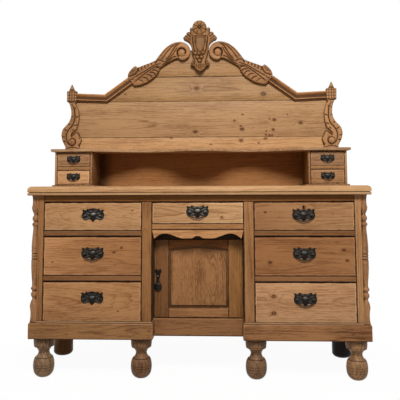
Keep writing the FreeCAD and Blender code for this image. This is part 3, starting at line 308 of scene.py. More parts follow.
def pine(name, pale, deep, knots=(), marking=1.0, ring=0.0055, gloss=0.42, edge_dirt_and_shade=0.6, edge_wear_and_highlight=0.35,
         speckle=0.5, ends=1.0, line=1.1, broken=0.55):
    """Old waxed pine: year rings cut by the board, long fibres, knots, pores, a dark line along
    the edges, in millimetres, that is dirt and painted shade of the gaps, and pale edges beside
    it, rubbed bare and partly a painted highlight.  Knots are (along, across, radius) from a
    board's middle."""
    finish, tree = blank_finish(name)

    def marked(mark, output="Vector"):
        return step(tree, "ShaderNodeAttribute", attribute_name=mark).outputs[output]

    def vector_of(how, *values, output=0):
        return step(tree, "ShaderNodeVectorMath", values, operation=how).outputs[output]

    def stretched(vector, scale):
        return vector_of("MULTIPLY", vector, scale)

    def noise(vector, scale, detail=2.0, rough=0.5, output=0):
        return step(tree, "ShaderNodeTexNoise", {"Vector": vector, "Scale": scale, "Detail": detail,
                                                 "Roughness": rough}).outputs[output]

    def between(value, low, high, out_low=0.0, out_high=1.0):
        return step(tree, "ShaderNodeMapRange", [value, low, high, out_low, out_high]).outputs[0]

    def mixed(share, first, second, way="MIX"):
        return step(tree, "ShaderNodeMix", {0: share, 6: first, 7: second}, data_type="RGBA",
                    blend_type=way).outputs[2]

    # The rings wander a little along the log, and their lines are rough.
    rings, place, reach = marked("rings"), marked("place"), marked("reach")
    bent = rings
    for scale, wander in (((1.6, 7.0, 7.0), 0.030), ((12.0, 60.0, 60.0), 0.0016)):
        drift = noise(stretched(rings, scale), 1.0, 2.0, output=1)
        drift = vector_of("SUBTRACT", drift, (0.5, 0.5, 0.5))
        bent = vector_of("ADD", stretched(drift, (0.0, wander, wander)), bent)
    heart_gap = vector_of("LENGTH", stretched(bent, (0.0, 1.0, 1.0)), output="Value")

    # They sweep round every knot.
    knot_core = None
    for along, across, radius in knots:
        gap = vector_of("ADD", place, (-along, -across, 0.0))
        gap = vector_of("LENGTH", stretched(gap, (0.72 / radius, 1.0 / radius, 0.0)), output="Value")
        swirl = sum_of(tree, "MULTIPLY", sum_of(tree, "MULTIPLY", gap, gap), -0.16)
        swirl = sum_of(tree, "POWER", math.e, swirl)
        heart_gap = sum_of(tree, "MULTIPLY_ADD", swirl, 1.9 * radius, heart_gap)
        knot_core = gap if knot_core is None else sum_of(tree, "MINIMUM", knot_core, gap)

    # Every year goes from pale early wood to a dark line, in some years a strong one.
    spread = noise(stretched(rings, (0.8, 22.0, 22.0)), 1.0, 2.0)
    count = sum_of(tree, "DIVIDE", heart_gap, ring)
    count = sum_of(tree, "MULTIPLY_ADD", spread, 2.2, count)
    year = step(tree, "ShaderNodeValToRGB", [sum_of(tree, "FRACT", count)])
    ramp = year.color_ramp
    for spot, shade in ((0.0, 0.20), (0.07, 0.0), (0.62, 0.10), (0.80, 0.50), (0.92, 1.0)):
        stop = ramp.elements.new(spot) if spot else ramp.elements[0]
        stop.position, stop.color = spot, (shade, shade, shade, 1.0)
    ramp.elements[-1].position, ramp.elements[-1].color = 1.0, (0.45, 0.45, 0.45, 1.0)
    strong = step(tree, "ShaderNodeTexWhiteNoise", {"W": sum_of(tree, "FLOOR", count)},
                  noise_dimensions="1D").outputs[0]
    late = sum_of(tree, "MULTIPLY", year.outputs[0], between(strong, 0.15, 0.95, 0.20, 1.0))

    # Streaks, fibres, broad bands, clouds and flecks lie over the rings.
    cloud = noise(stretched(rings, (3.0, 5.0, 5.0)), 1.0, 3.0, 0.55)
    fibre = noise(stretched(rings, (13.0, 150.0, 150.0)), 1.0, 4.0, 0.7)
    streak = noise(stretched(rings, (0.9, 34.0, 34.0)), 1.0, 3.0, 0.55)
    band = noise(stretched(rings, (1.9, 15.0, 15.0)), 1.0, 3.0, 0.6)
    fleck = noise(stretched(rings, (42.0, 190.0, 190.0)), 1.0, 3.0, 0.7)
    shade = sum_of(tree, "MULTIPLY", late, 0.68 * marking)
    for mark, low, high, least, most, weight in (
            (streak, 0.3, 0.7, -0.5, 0.6, 0.30), (fibre, 0.3, 0.7, -0.5, 0.5, 0.80),
            (band, 0.35, 0.68, -0.4, 0.6, 0.38), (cloud, 0.3, 0.7, -0.5, 0.5, 0.40),
            (fleck, 0.60, 0.70, 0.0, 1.0, 0.80)):
        mark = between(mark, low, high, least, most)
        shade = sum_of(tree, "MULTIPLY_ADD", mark, weight * marking, shade)
    shade = sum_of(tree, "ADD", shade, 0.10)
    wood = mixed(step(tree, "ShaderNodeClamp", [shade]).outputs[0], (*pale, 1.0), (*deep, 1.0))

    # A knot is a brown disc with a ragged dark rim and a weak halo.
    if knot_core is not None:
        ragged = noise(stretched(place, (70.0, 70.0, 70.0)), 1.0)
        ragged = sum_of(tree, "MULTIPLY_ADD", ragged, 0.5, knot_core)
        halo = between(ragged, 1.2, 2.8, 0.40, 0.0)
        rim = sum_of(tree, "MULTIPLY", between(ragged, 0.70, 1.0), between(ragged, 1.15, 1.5, 1.0, 0.0))
        middle = between(ragged, 1.05, 1.30, 0.85, 0.0)
        wood = mixed(halo, wood, (deep[0] * 0.85, deep[1] * 0.75, deep[2] * 0.65, 1.0))
        wood = mixed(middle, wood, (deep[0] * 0.80, deep[1] * 0.66, deep[2] * 0.55, 1.0))
        wood = mixed(rim, wood, (deep[0] * 0.34, deep[1] * 0.26, deep[2] * 0.22, 1.0))

    # Along its edges a board has a line of dirt and painted shade, and pale wood beside that, rubbed bare
    # and partly a painted highlight.
    far = vector_of("SUBTRACT", reach, vector_of("ABSOLUTE", place))
    side = step(tree, "ShaderNodeSeparateXYZ", [far]).outputs
    long_edge = sum_of(tree, "MAXIMUM", side[1], side[2])
    end_edge = sum_of(tree, "MAXIMUM", side[0], sum_of(tree, "MINIMUM", side[1], side[2]))
    corner = sum_of(tree, "MINIMUM", long_edge, sum_of(tree, "MULTIPLY", end_edge, ends))
    worn_and_shining = noise(stretched(place, (16.0, 40.0, 40.0)), 1.0, 3.0, 0.6)
    bare_and_highlit = sum_of(tree, "MULTIPLY", between(corner, 0.0015 * line, 0.0015 * line + 0.0045, edge_wear_and_highlight, 0.0),
                  between(worn_and_shining, 0.38, 0.62, 0.35, 1.0))
    wood = mixed(bare_and_highlit, wood, (min(pale[0] * 1.30, 1.0), min(pale[1] * 1.36, 1.0), pale[2] * 1.5, 1.0))
    soil_and_shade = sum_of(tree, "MULTIPLY", between(corner, 0.0010 * line, 0.0014 * line, edge_dirt_and_shade, 0.0),
                    between(worn_and_shining, 0.42, 0.58, 1.0, broken))
    # The hollow value of its points adds dirt and painted shade, in gaps, recesses and shadows.
    soil_and_shade = sum_of(tree, "MAXIMUM", soil_and_shade, between(marked("hollow", "Fac"), 0.0, 1.0, 0.0, 0.93))
    dirt_and_shade_colour = (deep[0] * 0.16, deep[1] * 0.13, deep[2] * 0.13, 1.0)
    wood = mixed(soil_and_shade, wood, dirt_and_shade_colour)

    # Small dark holes are scattered over it, and the whole board has its own tint.
    pore = step(tree, "ShaderNodeTexVoronoi", {"Vector": stretched(place, (17.0, 26.0, 26.0)),
                                               "Scale": 1.0, "Randomness": 1.0}).outputs
    pick = step(tree, "ShaderNodeSeparateColor", [pore["Color"]]).outputs[0]
    hole = sum_of(tree, "MULTIPLY", between(pore["Distance"], 0.022, 0.040, 1.0, 0.0),
                  between(pick, 0.70, 0.74))
    wood = mixed(sum_of(tree, "MULTIPLY", hole, speckle), wood, dirt_and_shade_colour)
    wood = mixed(1.0, wood, marked("tint"), "MULTIPLY")

    # The surface is a little rough, dented and holed, and it shines where it is clean.
    rise = sum_of(tree, "MULTIPLY_ADD", late, 0.35, sum_of(tree, "MULTIPLY", fibre, 0.5))
    dents = noise(stretched(place, (30.0, 45.0, 45.0)), 1.0, 3.0, 0.6)
    rise = sum_of(tree, "MULTIPLY_ADD", between(dents, 0.25, 0.45, 0.0, 1.0), 1.1, rise)
    rise = sum_of(tree, "SUBTRACT", rise, hole)
    bump = step(tree, "ShaderNodeBump", {"Strength": 0.35, "Distance": 0.0007, "Height": rise})
    dull = sum_of(tree, "MULTIPLY_ADD", cloud, 0.16, gloss - 0.06)
    dull = sum_of(tree, "MULTIPLY_ADD", soil_and_shade, 0.25, dull)
    shader = step(tree, "ShaderNodeBsdfPrincipled",
                  {"Base Color": wood, "Roughness": dull, "Normal": bump.outputs[0],
                   "Specular IOR Level": 0.13})
    step(tree, "ShaderNodeOutputMaterial", [shader.outputs[0]])
    return finish


top_pine = pine("worktop.pine", (0.60, 0.350, 0.170), (0.28, 0.122, 0.045), ring=0.0065,
                edge_dirt_and_shade=0.3, edge_wear_and_highlight=0.1, marking=0.8,
                knots=((-0.235, 0.26, 0.007), (0.095, 0.26, 0.006), (0.42, -0.10, 0.012),
                       (-0.55, 0.05, 0.014), (0.2, 0.02, 0.010)))


sunk_height, sunk_half = 0.9096, 0.0036
sunk_x, sunk_y = 0.8475, 0.2625
lip_foot, lip_top = 0.8973, 0.9075


def sunk_line(places):
    """The sunk line under the round nose is black, the lip below it a little dark and its foot and the
    underside black: dirt and painted shade.
    """
    x, y, z = np.abs(places[:, 0]), np.abs(places[:, 1]), places[:, 2]
    deep_in = (np.abs(z - sunk_height) < sunk_half) & (x < sunk_x) & (y < sunk_y)
    lip = np.where(z < lip_foot, 0.85, np.where(z < lip_top, 0.25, 0.0))
    return np.where(deep_in, 1.0, lip)


boarded("worktop", top_pine, edge=0.0008, hearts=((0.05, 0.08, 0.004, 0.02),), dirt_and_shade=sunk_line,
        levels=(0.8970, 0.8985), tints=((0.93, 0.925, 0.91),))

# Case
# Two sides, two partitions between the drawer banks and the cupboard, a bottom and a
# boarded back, all of bare or lightly waxed pine, nailed and glued together.
case_pine = pine("case.pine", (0.50, 0.265, 0.125), (0.24, 0.100, 0.038), ring=0.006,
                 knots=((0.08, 0.03, 0.011), (-0.14, -0.11, 0.009)))
boarded("case_sides", case_pine, grain="z")
inside_pine = pine("inside.pine", (0.40, 0.235, 0.12), (0.20, 0.100, 0.045), gloss=0.62, edge_wear_and_highlight=0.15)
door_front = -0.14


def shaded_cheeks(places):
    """The cheeks of the recess in front of the door are painted black as shade."""
    return np.where(places[:, 1] < door_front, 0.97, 0.0)


boarded("partitions", inside_pine, grain="z", edge=0.0008, dirt_and_shade=shaded_cheeks)
boarded("case_back", inside_pine, grain="z", edge=0.0008)
boarded("case_bottom", inside_pine, grain="x", edge=0.0008)
boarded("drawer_runners", inside_pine, grain="y", edge=0.0005)

# Face frame
# Posts beside the drawers, rails between them and the header over the cupboard door.
# They are waxed pine, tenoned together flush, and all but one post are dark with age.
# Its edges take a wide black line, dirt and painted shade of the gaps round the drawers.
frame_pine = pine("frame.pine", (0.44, 0.215, 0.084), (0.21, 0.084, 0.026), ring=0.0085,
                  marking=1.05, edge_wear_and_highlight=0.35, edge_dirt_and_shade=0.97, ends=3.0, line=3.6, broken=0.8)
face_y = -0.2345
top_rail_foot, under_worktop = 0.85, 0.8695


def shaded_and_dirty_edges(places):
    """The faces round the openings and the foot of every rail are black, dirt and painted shade
    of the gaps, and the top rail under the worktop is darkened as painted shadow of the
    worktop.  The outer edge of an outer post is clean beside its column."""
    low, high = places[:, 2].min(), places[:, 2].max()
    behind_face = places[:, 1] > face_y
    if low > top_rail_foot:
        return np.where(behind_face, 0.95, np.where(places[:, 2] > under_worktop, 0.40, 0.0))
    foot = (high - low < 0.05) & (places[:, 2] < low + 0.0011)
    outward = np.abs(places[:, 0])
    outer_post = outward.min() > 0.70 and high - low > 0.3
    beside_column = (outward > (outward.min() + outward.max()) / 2) & outer_post
    return np.where((behind_face | foot) & ~beside_column, 0.95, 0.0)


face_post_tints = ((0.99, 1.08, 1.18), (0.76, 0.75, 0.75), (0.68, 0.65, 0.62), (0.66, 0.62, 0.56))
boarded("face_posts", frame_pine, grain="z", edge=0.0009, dirt_and_shade=shaded_and_dirty_edges,
        tints=face_post_tints)
rail_slices = [min(place[2] for place in board[0]) + rise
               for board in boards_of("face_rails") for rise in (0.0010, 0.0024)]
# The browner tint of the top rail is painted shade under the worktop, and the darkest, of the rail set
# back behind the apron, painted shade under the apron.
boarded("face_rails", frame_pine, grain="x", edge=0.0009, dirt_and_shade=shaded_and_dirty_edges,
        levels=rail_slices + [under_worktop - 0.002, under_worktop + 0.001],
        tints=((0.54, 0.50, 0.50), (0.50, 0.46, 0.42), (0.49, 0.44, 0.42), (0.46, 0.44, 0.42),
               (0.75, 0.59, 0.36), 0.88, 0.35))

# Apron
# A shaped pine board under the middle drawer, cut in two scallops and planted in front
# of the cupboard opening.
boarded("apron", frame_pine, grain="x", edge=0.0012, tints=((1.19, 1.21, 1.28),))

# Corner columns
# One long turning let into each front corner, square at its ends.  Rings, vases and
# hollows were cut on the lathe, and every quirk is dark with dirt and painted shade.
turned_pine = pine("turned.pine", (0.37, 0.186, 0.083), (0.14, 0.055, 0.021), ring=0.0045, edge_wear_and_highlight=0.3,
                   marking=1.2)


def turned(node, finish, axes, quirk, dirt_and_shade_share, tints=(1.0,), dark_rings=()):
    """A lathe-turned piece.  It is dark, with dirt and painted shade, wherever it is thinner than it
    is both above and below within `quirk`, and in dark rings at some given heights."""
    chance = random.Random(node)
    parts = []
    for index, board in enumerate(boards_of(node)):
        places, faces = eased(board, 0.0)
        rings_cut = np.arange(places[:, 2].min() + 0.0013, places[:, 2].max(), 0.0025)
        places, faces = sliced(places, faces, rings_cut)
        rings, local, _ = wood_marks(places, chance, "z", (0.03, 0.02, 0.01, 0.02))
        radius = np.hypot(places[:, 0] - axes[index][0], places[:, 1] - axes[index][1])
        levels = np.round(places[:, 2], 4)
        heights = np.unique(levels)
        widest = np.array([radius[levels == height].max() for height in heights])
        whole = np.array([(levels == height).sum() > 4 for height in heights])
        widest = np.interp(heights, heights[whole], widest[whole])
        hollow = np.zeros(len(heights))
        for i, height in enumerate(heights):
            above = widest[(heights >= height) & (heights < height + quirk)].max()
            below = widest[(heights <= height) & (heights > height - quirk)].max()
            hollow[i] = (min(above, below) - widest[i]) / quirk
        for ring, dark in dark_rings:
            hollow = np.maximum(hollow, dark * (np.abs(heights - ring) < 0.0016))
        quirk_darkness = np.clip(dirt_and_shade_share * (2.0 * hollow - 0.3), 0.0, 0.97)[np.searchsorted(heights, levels)]
        parts.append((places, faces, rings, local, 1.0, tints[index % len(tints)], quirk_darkness))
    wooden(node.replace("_", ".") + ".turned", parts, [finish], "cabinet", (node,), 35.0)


column_axes = ((0.8194, -0.2176), (-0.8194, -0.2176))
turned("corner_columns", turned_pine, column_axes, quirk=0.0055, dirt_and_shade_share=3.0)

# Plinth
# Boards proud of the case, rounded along their top edge, returning into the recess,
# with a block glued over each foot.  Shoes and mops have made it darker and greyer.
# Its rounded top edge is pale, worn and partly a painted highlight.
plinth_pine = pine("plinth.pine", (0.33, 0.162, 0.067), (0.12, 0.047, 0.017), ring=0.0065, edge_dirt_and_shade=0.95,
                   edge_wear_and_highlight=1.0, speckle=1.0, marking=1.25, line=0.6, broken=0.0)


dark_foot_height, ledge_height = 0.1985, 0.2710


def scuffed_and_shaded_edges(places):
    """The lowest edge is black, dirt from mops and painted shade under the plinth, and dirt lies on the
    top against the case.
    """
    z = places[:, 2]
    front_board = places[:, 1].min() < -0.24 and np.ptp(places[:, 0]) > 0.3
    return np.where((z < dark_foot_height) | ((z > ledge_height) & front_board), 0.9, 0.0)


boarded("plinth", plinth_pine, edge=0.006, dirt_and_shade=scuffed_and_shaded_edges,
        levels=(0.1983, 0.2005),
        tints=((0.95, 0.91, 0.89), 0.7, 0.6, 0.6, 0.6, 0.6, (0.87, 0.87, 0.82), 0.7, 0.6, 0.6, 0.6,
               0.6, (0.76, 0.73, 0.70), 0.6))

# Feet
# Four turned bun feet in front and two plain stumps behind, pegged into the blocks.
# The wax has worn off them and the wood is grey-brown and bruised.  One stump is black.
foot_pine = pine("foot.pine", (0.36, 0.200, 0.102), (0.095, 0.043, 0.018), ring=0.0075, gloss=0.40,
                 speckle=1.0, marking=1.2)
foot_axes = ((0.775, -0.179), (0.2845, -0.179), (-0.775, -0.179), (-0.2845, -0.179))
turned("front_feet", foot_pine, foot_axes, quirk=0.016, dirt_and_shade_share=0.60,
       tints=((0.94, 0.92, 0.86), (0.60, 0.58, 0.57), (0.85, 0.93, 1.01), (0.62, 0.56, 0.53)),
       dark_rings=((0.094, 1.0), (0.0485, 0.9), (0.036, 0.6), (0.060, 0.5), (0.152, 0.8), (0.183, 0.8)))
stump_axes = ((0.780, 0.191), (-0.780, 0.191))
turned("back_feet", foot_pine, stump_axes, quirk=0.01, dirt_and_shade_share=0.5,
       tints=((0.022, 0.010, 0.006), (0.72, 0.56, 0.28)))

# Drawers
# Six large drawers, a middle one and four small ones: a thick pine front nailed over
# thin sides, back and bottom.  Every front came from a different plank.
front_thickness = 0.0225
# Of each front its tint, or two tints from left to right, the log's heart, and its knots.
drawer_looks = {
    "left_top": ((0.90, 0.93, 0.95), (0.004, 0.038, 0.0, -0.125), ((0.20, 0.03, 0.003),)),
    "left_middle": (((0.93, 0.88, 0.83), (0.64, 0.55, 0.48)), (-0.05, 0.06, 0.004, 0.02),
                    ((0.108, 0.018, 0.0045), (0.146, 0.040, 0.0038), (-0.20, -0.03, 0.003))),
    "left_bottom": (((0.86, 0.83, 0.80), (0.78, 0.74, 0.68)), (0.004, 0.050, 0.0, 0.09),
                    ((0.13, -0.045, 0.003),)),
    "right_top": (((0.61, 0.55, 0.50), (0.83, 0.85, 0.88)), (0.06, 0.07, 0.0, 0.015),
                  ((-0.19, 0.02, 0.004), (0.0, 0.0435, 0.0056), (0.0, 0.035, 0.0048))),
    "right_middle": (((0.59, 0.49, 0.41), (0.65, 0.57, 0.51)), (-0.03, 0.06, 0.008, 0.02),
                     ((-0.17, -0.03, 0.006), (0.19, 0.03, 0.006), (0.205, -0.02, 0.005))),
    "right_bottom": ((0.97, 1.02, 1.13), (0.02, 0.035, -0.010, -0.050),
                     ((-0.155, 0.03, 0.008), (-0.155, -0.05, 0.008))),
    "centre": (((0.87, 0.90, 0.93), (1.10, 1.23, 1.33)), (0.0, 0.04, 0.0, 0.035),
               ((0.12, -0.02, 0.004),)),
    "small_left_upper": ((0.78, 0.82, 0.93), (0.01, 0.03, 0.0, 0.02), ()),
    "small_left_lower": ((1.20, 1.30, 1.40), (0.0, 0.03, 0.0, 0.03), ()),
    "small_right_upper": ((0.73, 0.78, 0.90), (0.02, 0.03, 0.0, 0.02), ()),
    "small_right_lower": ((0.84, 0.87, 0.92), (0.0, 0.03, 0.0, -0.03), ()),
}


def shaded_gap_sides(places):
    """The sides of a front, inside the gap round it, are painted black as shade."""
    depth = places[:, 1] - places[:, 1].min()
    front_board = depth.max() < front_thickness
    return np.where(front_board & (depth > 0.0012), 0.97, 0.0)


for name, (tint, heart, knots) in drawer_looks.items():
    # A front's arris carries a black line, dirt and painted shade of the gap, and a pale rubbed edge
    # inside it, partly a painted highlight.
    front_pine = pine("front.%s.pine" % name, (0.50, 0.262, 0.116), (0.25, 0.106, 0.036),
                      knots=knots, ring=0.0085, marking=1.1, edge_wear_and_highlight=0.95, edge_dirt_and_shade=0.97, line=2.0)
    boarded("drawer_" + name, front_pine, name + "_drawer",
            edge=(0.0014, 0.0006, 0.0006, 0.0006, 0.0004), grain="xyyxx",
            tints=(tint, (0.78, 0.80, 0.84)), hearts=(heart, None, None, None, None),
            dirt_and_shade=shaded_gap_sides)

# Drawer lock
# A flat iron lock screwed behind the front of the right top drawer, under its keyhole.
# It has rusted brown in spots, and so have the hinges of the door.


def two_shades(tree, value, low, first, high, second):
    """A colour that goes from one shade to another as a value rises."""
    ramp = step(tree, "ShaderNodeValToRGB", [value])
    for stop, spot, shade in zip(ramp.color_ramp.elements, (low, high), (first, second)):
        stop.position = spot
        stop.color = (*shade, 1.0)
    return ramp.outputs[0]


def metal(tree, colour, share, rough, bump, tint=(1.0, 1.0, 1.0)):
    """The surface of a metal, from its colour and roughness and its bumps."""
    surface = step(tree, "ShaderNodeBsdfPrincipled", {
        "Base Color": colour, "Metallic": share, "Roughness": rough, "Normal": bump,
        "Specular Tint": (*tint, 1.0)})
    step(tree, "ShaderNodeOutputMaterial", [surface.outputs[0]])


def dress(node, finish):
    """Give a CAD piece whose shape is right its finish."""
    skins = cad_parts[node].data.materials
    skins.clear()
    skins.append(finish)


iron, tree = blank_finish("old.iron")
spots = step(tree, "ShaderNodeTexNoise", {"Scale": 160.0, "Detail": 5.0, "Roughness": 0.65}).outputs[0]
rust = two_shades(tree, spots, 0.35, (0.045, 0.038, 0.034), 0.72, (0.15, 0.075, 0.040))
rusty = step(tree, "ShaderNodeMapRange", [spots, 0.3, 0.7, 0.42, 0.68]).outputs[0]
pitting = step(tree, "ShaderNodeBump", {"Strength": 0.3, "Distance": 0.0004, "Height": spots})
metal(tree, rust, 0.75, rusty, pitting.outputs[0])
dress("drawer_lock", iron)

# Handle plates
# Cast bronze plates with two ears above, pierced at both sides of a ribbed shield, and
# with two posts that carry the bail.  Age has blackened them, and hands have rubbed the
# high spots bare, most of all on two of them.  The bare bronze on the ribs, the shield's brow and
# the posts is partly a painted highlight.
bronze, tree = blank_finish("black.bronze")
# Where a piece is rubbed it takes paler bare bronze: wear, and partly a painted highlight.
raised = step(tree, "ShaderNodeAttribute", attribute_name="worn_and_shining").outputs["Fac"]
cast_grain = step(tree, "ShaderNodeTexNoise", {"Scale": 420.0, "Detail": 4.0, "Roughness": 0.6}).outputs[0]
patches = step(tree, "ShaderNodeTexNoise", {"Scale": 190.0, "Detail": 3.0, "Roughness": 0.6}).outputs[0]
patina = two_shades(tree, patches, 0.42, (0.0050, 0.0042, 0.0036), 0.72, (0.050, 0.040, 0.032))
bared_and_shining = step(tree, "ShaderNodeMapRange", [patches, 0.35, 0.65, 0.45, 1.0]).outputs[0]
bared_and_shining = sum_of(tree, "MULTIPLY", raised, bared_and_shining)
bare_shining_bronze = (0.26, 0.255, 0.235, 1.0)
coloured = step(tree, "ShaderNodeMix", {0: bared_and_shining, 6: patina, 7: bare_shining_bronze}, data_type="RGBA")
polished = step(tree, "ShaderNodeMapRange", [bared_and_shining, 0.0, 1.0, 0.52, 0.30]).outputs[0]
casting = step(tree, "ShaderNodeBump", {"Strength": 0.35, "Distance": 0.0003, "Height": cast_grain})
metal(tree, coloured.outputs[2], 1.0, polished, casting.outputs[0], tint=(0.30, 0.26, 0.23))


def flowing(points, spacing, closed=False):
    """Even points along a smooth line through the given ones."""
    knots = np.array(points, float)
    count = len(knots)
    if count < 3 and not closed:
        length = np.linalg.norm(knots[1] - knots[0])
        share = np.linspace(0.0, 1.0, max(2, int(length / spacing) + 1))[:, None]
        return knots[0] + (knots[1] - knots[0]) * share
    bits = []
    for i in range(count if closed else count - 1):
        if closed:
            a, b, c, d = (knots[(i + k) % count] for k in (-1, 0, 1, 2))
        else:
            b, c = knots[i], knots[i + 1]
            a = knots[i - 1] if i else 2 * b - c
            d = knots[i + 2] if i + 2 < count else 2 * c - b
        steps = max(1, int(round(np.linalg.norm(c - b) / spacing)))
        t = (np.arange(steps) / steps)[:, None]
        bits.append(0.5 * (2 * b + (c - a) * t + (2 * a - 5 * b + 4 * c - d) * t ** 2
                           + (3 * b - a - 3 * c + d) * t ** 3))
    if not closed:
        bits.append(knots[-1:])
    return np.concatenate(bits)


def edge_points(stretches, spacing):
    """A closed outline from stretches that meet at corners, each one a smooth line."""
    return np.concatenate([flowing(stretch, spacing)[:-1] for stretch in stretches])


def ring_of(loop):
    """A closed loop's points with the first one again at the end."""
    return np.vstack([loop, loop[:1]])


def gap_to(points, line):
    """Distance from every point to the nearest spot of a line, and how far along that is."""
    line = np.asarray(line, float)
    best = np.full(len(points), 1e9)
    where = np.zeros(len(points))
    lengths = np.linalg.norm(np.diff(line, axis=0), axis=1)
    total = max(lengths.sum(), 1e-9)
    done = 0.0
    for start, end, length in zip(line, line[1:], lengths):
        if length < 1e-12:
            continue
        share = np.clip(((points - start) @ (end - start)) / length ** 2, 0.0, 1.0)
        gap = np.linalg.norm(points - start - share[:, None] * (end - start), axis=1)
        nearer = gap < best
        best[nearer] = gap[nearer]
        where[nearer] = ((done + share * length) / total)[nearer]
        done += length
    return best, where


def within(points, loop):
    """Which points lie inside a closed loop."""
    inside = np.zeros(len(points), bool)
    x, z = points[:, 0], points[:, 1]
    for (x0, z0), (x1, z1) in zip(loop, np.roll(loop, -1, axis=0)):
        crosses = (z0 > z) != (z1 > z)
        if z1 != z0:
            inside ^= crosses & (x < (x1 - x0) * (z - z0) / (z1 - z0) + x0)
    return inside


def raised_skin(outline, holes, rise, cell):
    """Front of a relief over an outline: (places in X and Z, heights, hollows), its faces
    and the edges of its rim."""
    loops = [np.asarray(outline)] + [np.asarray(hole) for hole in holes]
    low, high = loops[0].min(0), loops[0].max(0)
    rows = []
    for row, z in enumerate(np.arange(low[1] + cell / 2, high[1], cell * 0.866)):
        xs = np.arange(low[0] + (cell / 2 if row % 2 else cell), high[0], cell)
        rows.append(np.stack([xs, np.full(len(xs), z)], 1))
    fill = np.concatenate(rows)
    fill = fill[within(fill, loops[0])]
    for loop in loops:
        fill = fill[gap_to(fill, ring_of(loop))[0] > 0.62 * cell]
    for loop in loops[1:]:
        fill = fill[~within(fill, loop)]
    points, ties = [], []
    for loop in loops:
        first = len(points)
        points += loop.tolist()
        ties += [(first + i, first + (i + 1) % len(loop)) for i in range(len(loop))]
    points += fill.tolist()
    flat, _, faces, _, _, _ = delaunay_2d_cdt([Vector(p) for p in points], ties, [], 0, 1e-9)
    flat = np.array([(p.x, p.y) for p in flat])
    faces = np.array(faces)
    middles = flat[faces].mean(1)
    keep = within(middles, loops[0])
    for loop in loops[1:]:
        keep &= ~within(middles, loop)
    faces = faces[keep]
    rim = np.full(len(flat), 1e9)
    for loop in loops:
        rim = np.minimum(rim, gap_to(flat, ring_of(loop))[0])
    heights, hollow = rise(flat, rim)
    edges = [edge for face in faces.tolist() for edge in zip(face, face[1:] + face[:1])]
    paired = set(edges)
    border = [edge for edge in edges if edge[::-1] not in paired]
    return flat, faces.tolist(), heights, hollow, border


def relief(outline, holes, rise, cell, back, dirt_and_shade_share=None):
    """Closed solid of a relief: carved front, walls and a flat back at Y = back.  With a dark share
    the walls and the back's rim take it, as painted shade, and the rest of the back a little.
    Without it the walls take about half of what the front's rim has, and the back none."""
    flat, faces, heights, hollow, border = raised_skin(outline, holes, rise, cell)
    count = len(flat)
    front = np.stack([flat[:, 0], back - heights, flat[:, 1]], 1)
    rear = np.stack([flat[:, 0], np.full(count, back), flat[:, 1]], 1)
    rim = sorted({v for edge in border for v in edge})
    order = {v: i for i, v in enumerate(rim)}
    middle = (front[rim] + rear[rim]) / 2
    solid = [list(face) for face in faces]
    solid += [[v + count for v in face[::-1]] for face in faces]
    for a, b in border:
        ma, mb = 2 * count + order[a], 2 * count + order[b]
        solid.append([b, a, ma, mb])
        solid.append([mb, ma, a + count, b + count])
    behind = np.zeros(count)
    wall = hollow[rim] * 0.5 + 0.25
    if dirt_and_shade_share:
        behind[:] = 0.3
        behind[rim] = dirt_and_shade_share
        wall[:] = dirt_and_shade_share
    return np.concatenate([front, rear, middle]), solid, np.concatenate([hollow, behind, wall])


def hoop(middle, across, up, around):
    """Corners of a hoop round a middle, from its two half widths as vectors."""
    turns = np.arange(around)[:, None] * 2 * math.pi / around
    return (np.array(middle) + np.cos(turns) * across + np.sin(turns) * up).tolist()


def hoop_faces(first, hoops, around, mirrored=False):
    """Faces of a bar through a number of hoops, with its first and its last end."""
    faces = []
    for start in range(first, first + (hoops - 1) * around, around):
        for k in range(around):
            a, b = start + k, start + (k + 1) % around
            faces.append([a, b, b + around, a + around])
    last = first + (hoops - 1) * around
    faces.append(list(range(first, first + around))[::-1])
    faces.append(list(range(last, last + around)))
    return [face[::-1] for face in faces] if mirrored else faces


def cut_depth(points, strokes):
    """Depth of a set of gouge strokes, each (line, width, depth), fading out at its ends."""
    total = np.zeros(len(points))
    for line, width, depth in strokes:
        gap, where = gap_to(points, flowing(line, width * 0.5))
        fade = np.clip(np.minimum(where, 1.0 - where) * 7.0 + 0.35, 0.0, 1.0)
        total = np.maximum(total, depth * fade * np.exp(-(gap / width) ** 2))
    return total


def dome(gap, radius):
    """Height share of a ball cap: 1 over its middle and 0 at its rim."""
    return np.sqrt(np.clip(1.0 - (gap / radius) ** 2, 0.0, 1.0))


def bronze_piece(name, places, faces, worn_and_shining, body, replaced, sharp=38.0):
    """One cast piece, bare where it is rubbed."""
    skin = bpy.data.meshes.new(name)
    skin.from_pydata(np.asarray(places).tolist(), [], faces)
    skin.attributes.new("worn_and_shining", "FLOAT", "POINT").data.foreach_set(
        "value", np.asarray(worn_and_shining, np.float32))
    skin.materials.append(bronze)
    mounted(name, skin, sharp, body, (replaced,))


# Half outline, piercing, shield, cuts and ribs of the plate, as shares of its half width.
# A cut's line is followed by its width and depth, and a rib's by its width and strength.
plate_edge = [
    [(0.0, 0.47), (0.13, 0.45), (0.26, 0.46)],
    [(0.26, 0.46), (0.40, 0.53), (0.52, 0.575)],
    [(0.52, 0.575), (0.58, 0.52), (0.64, 0.42)],
    [(0.64, 0.42), (0.76, 0.46), (0.90, 0.52)],
    [(0.90, 0.52), (0.97, 0.44), (0.90, 0.32)],
    [(0.90, 0.32), (0.96, 0.18), (1.0, 0.04), (0.98, -0.14), (0.90, -0.31), (0.76, -0.41),
     (0.60, -0.42), (0.44, -0.36), (0.28, -0.34), (0.13, -0.46), (0.0, -0.60)]]
plate_opening = [(0.43, 0.00), (0.46, 0.03), (0.49, 0.00), (0.50, -0.05), (0.47, -0.08), (0.44, -0.05)]
shield_edge = np.array([(-0.24, 0.24), (0.0, 0.30), (0.24, 0.24), (0.27, 0.10), (0.17, -0.18),
                        (0.0, -0.50), (-0.17, -0.18), (-0.27, 0.10)])
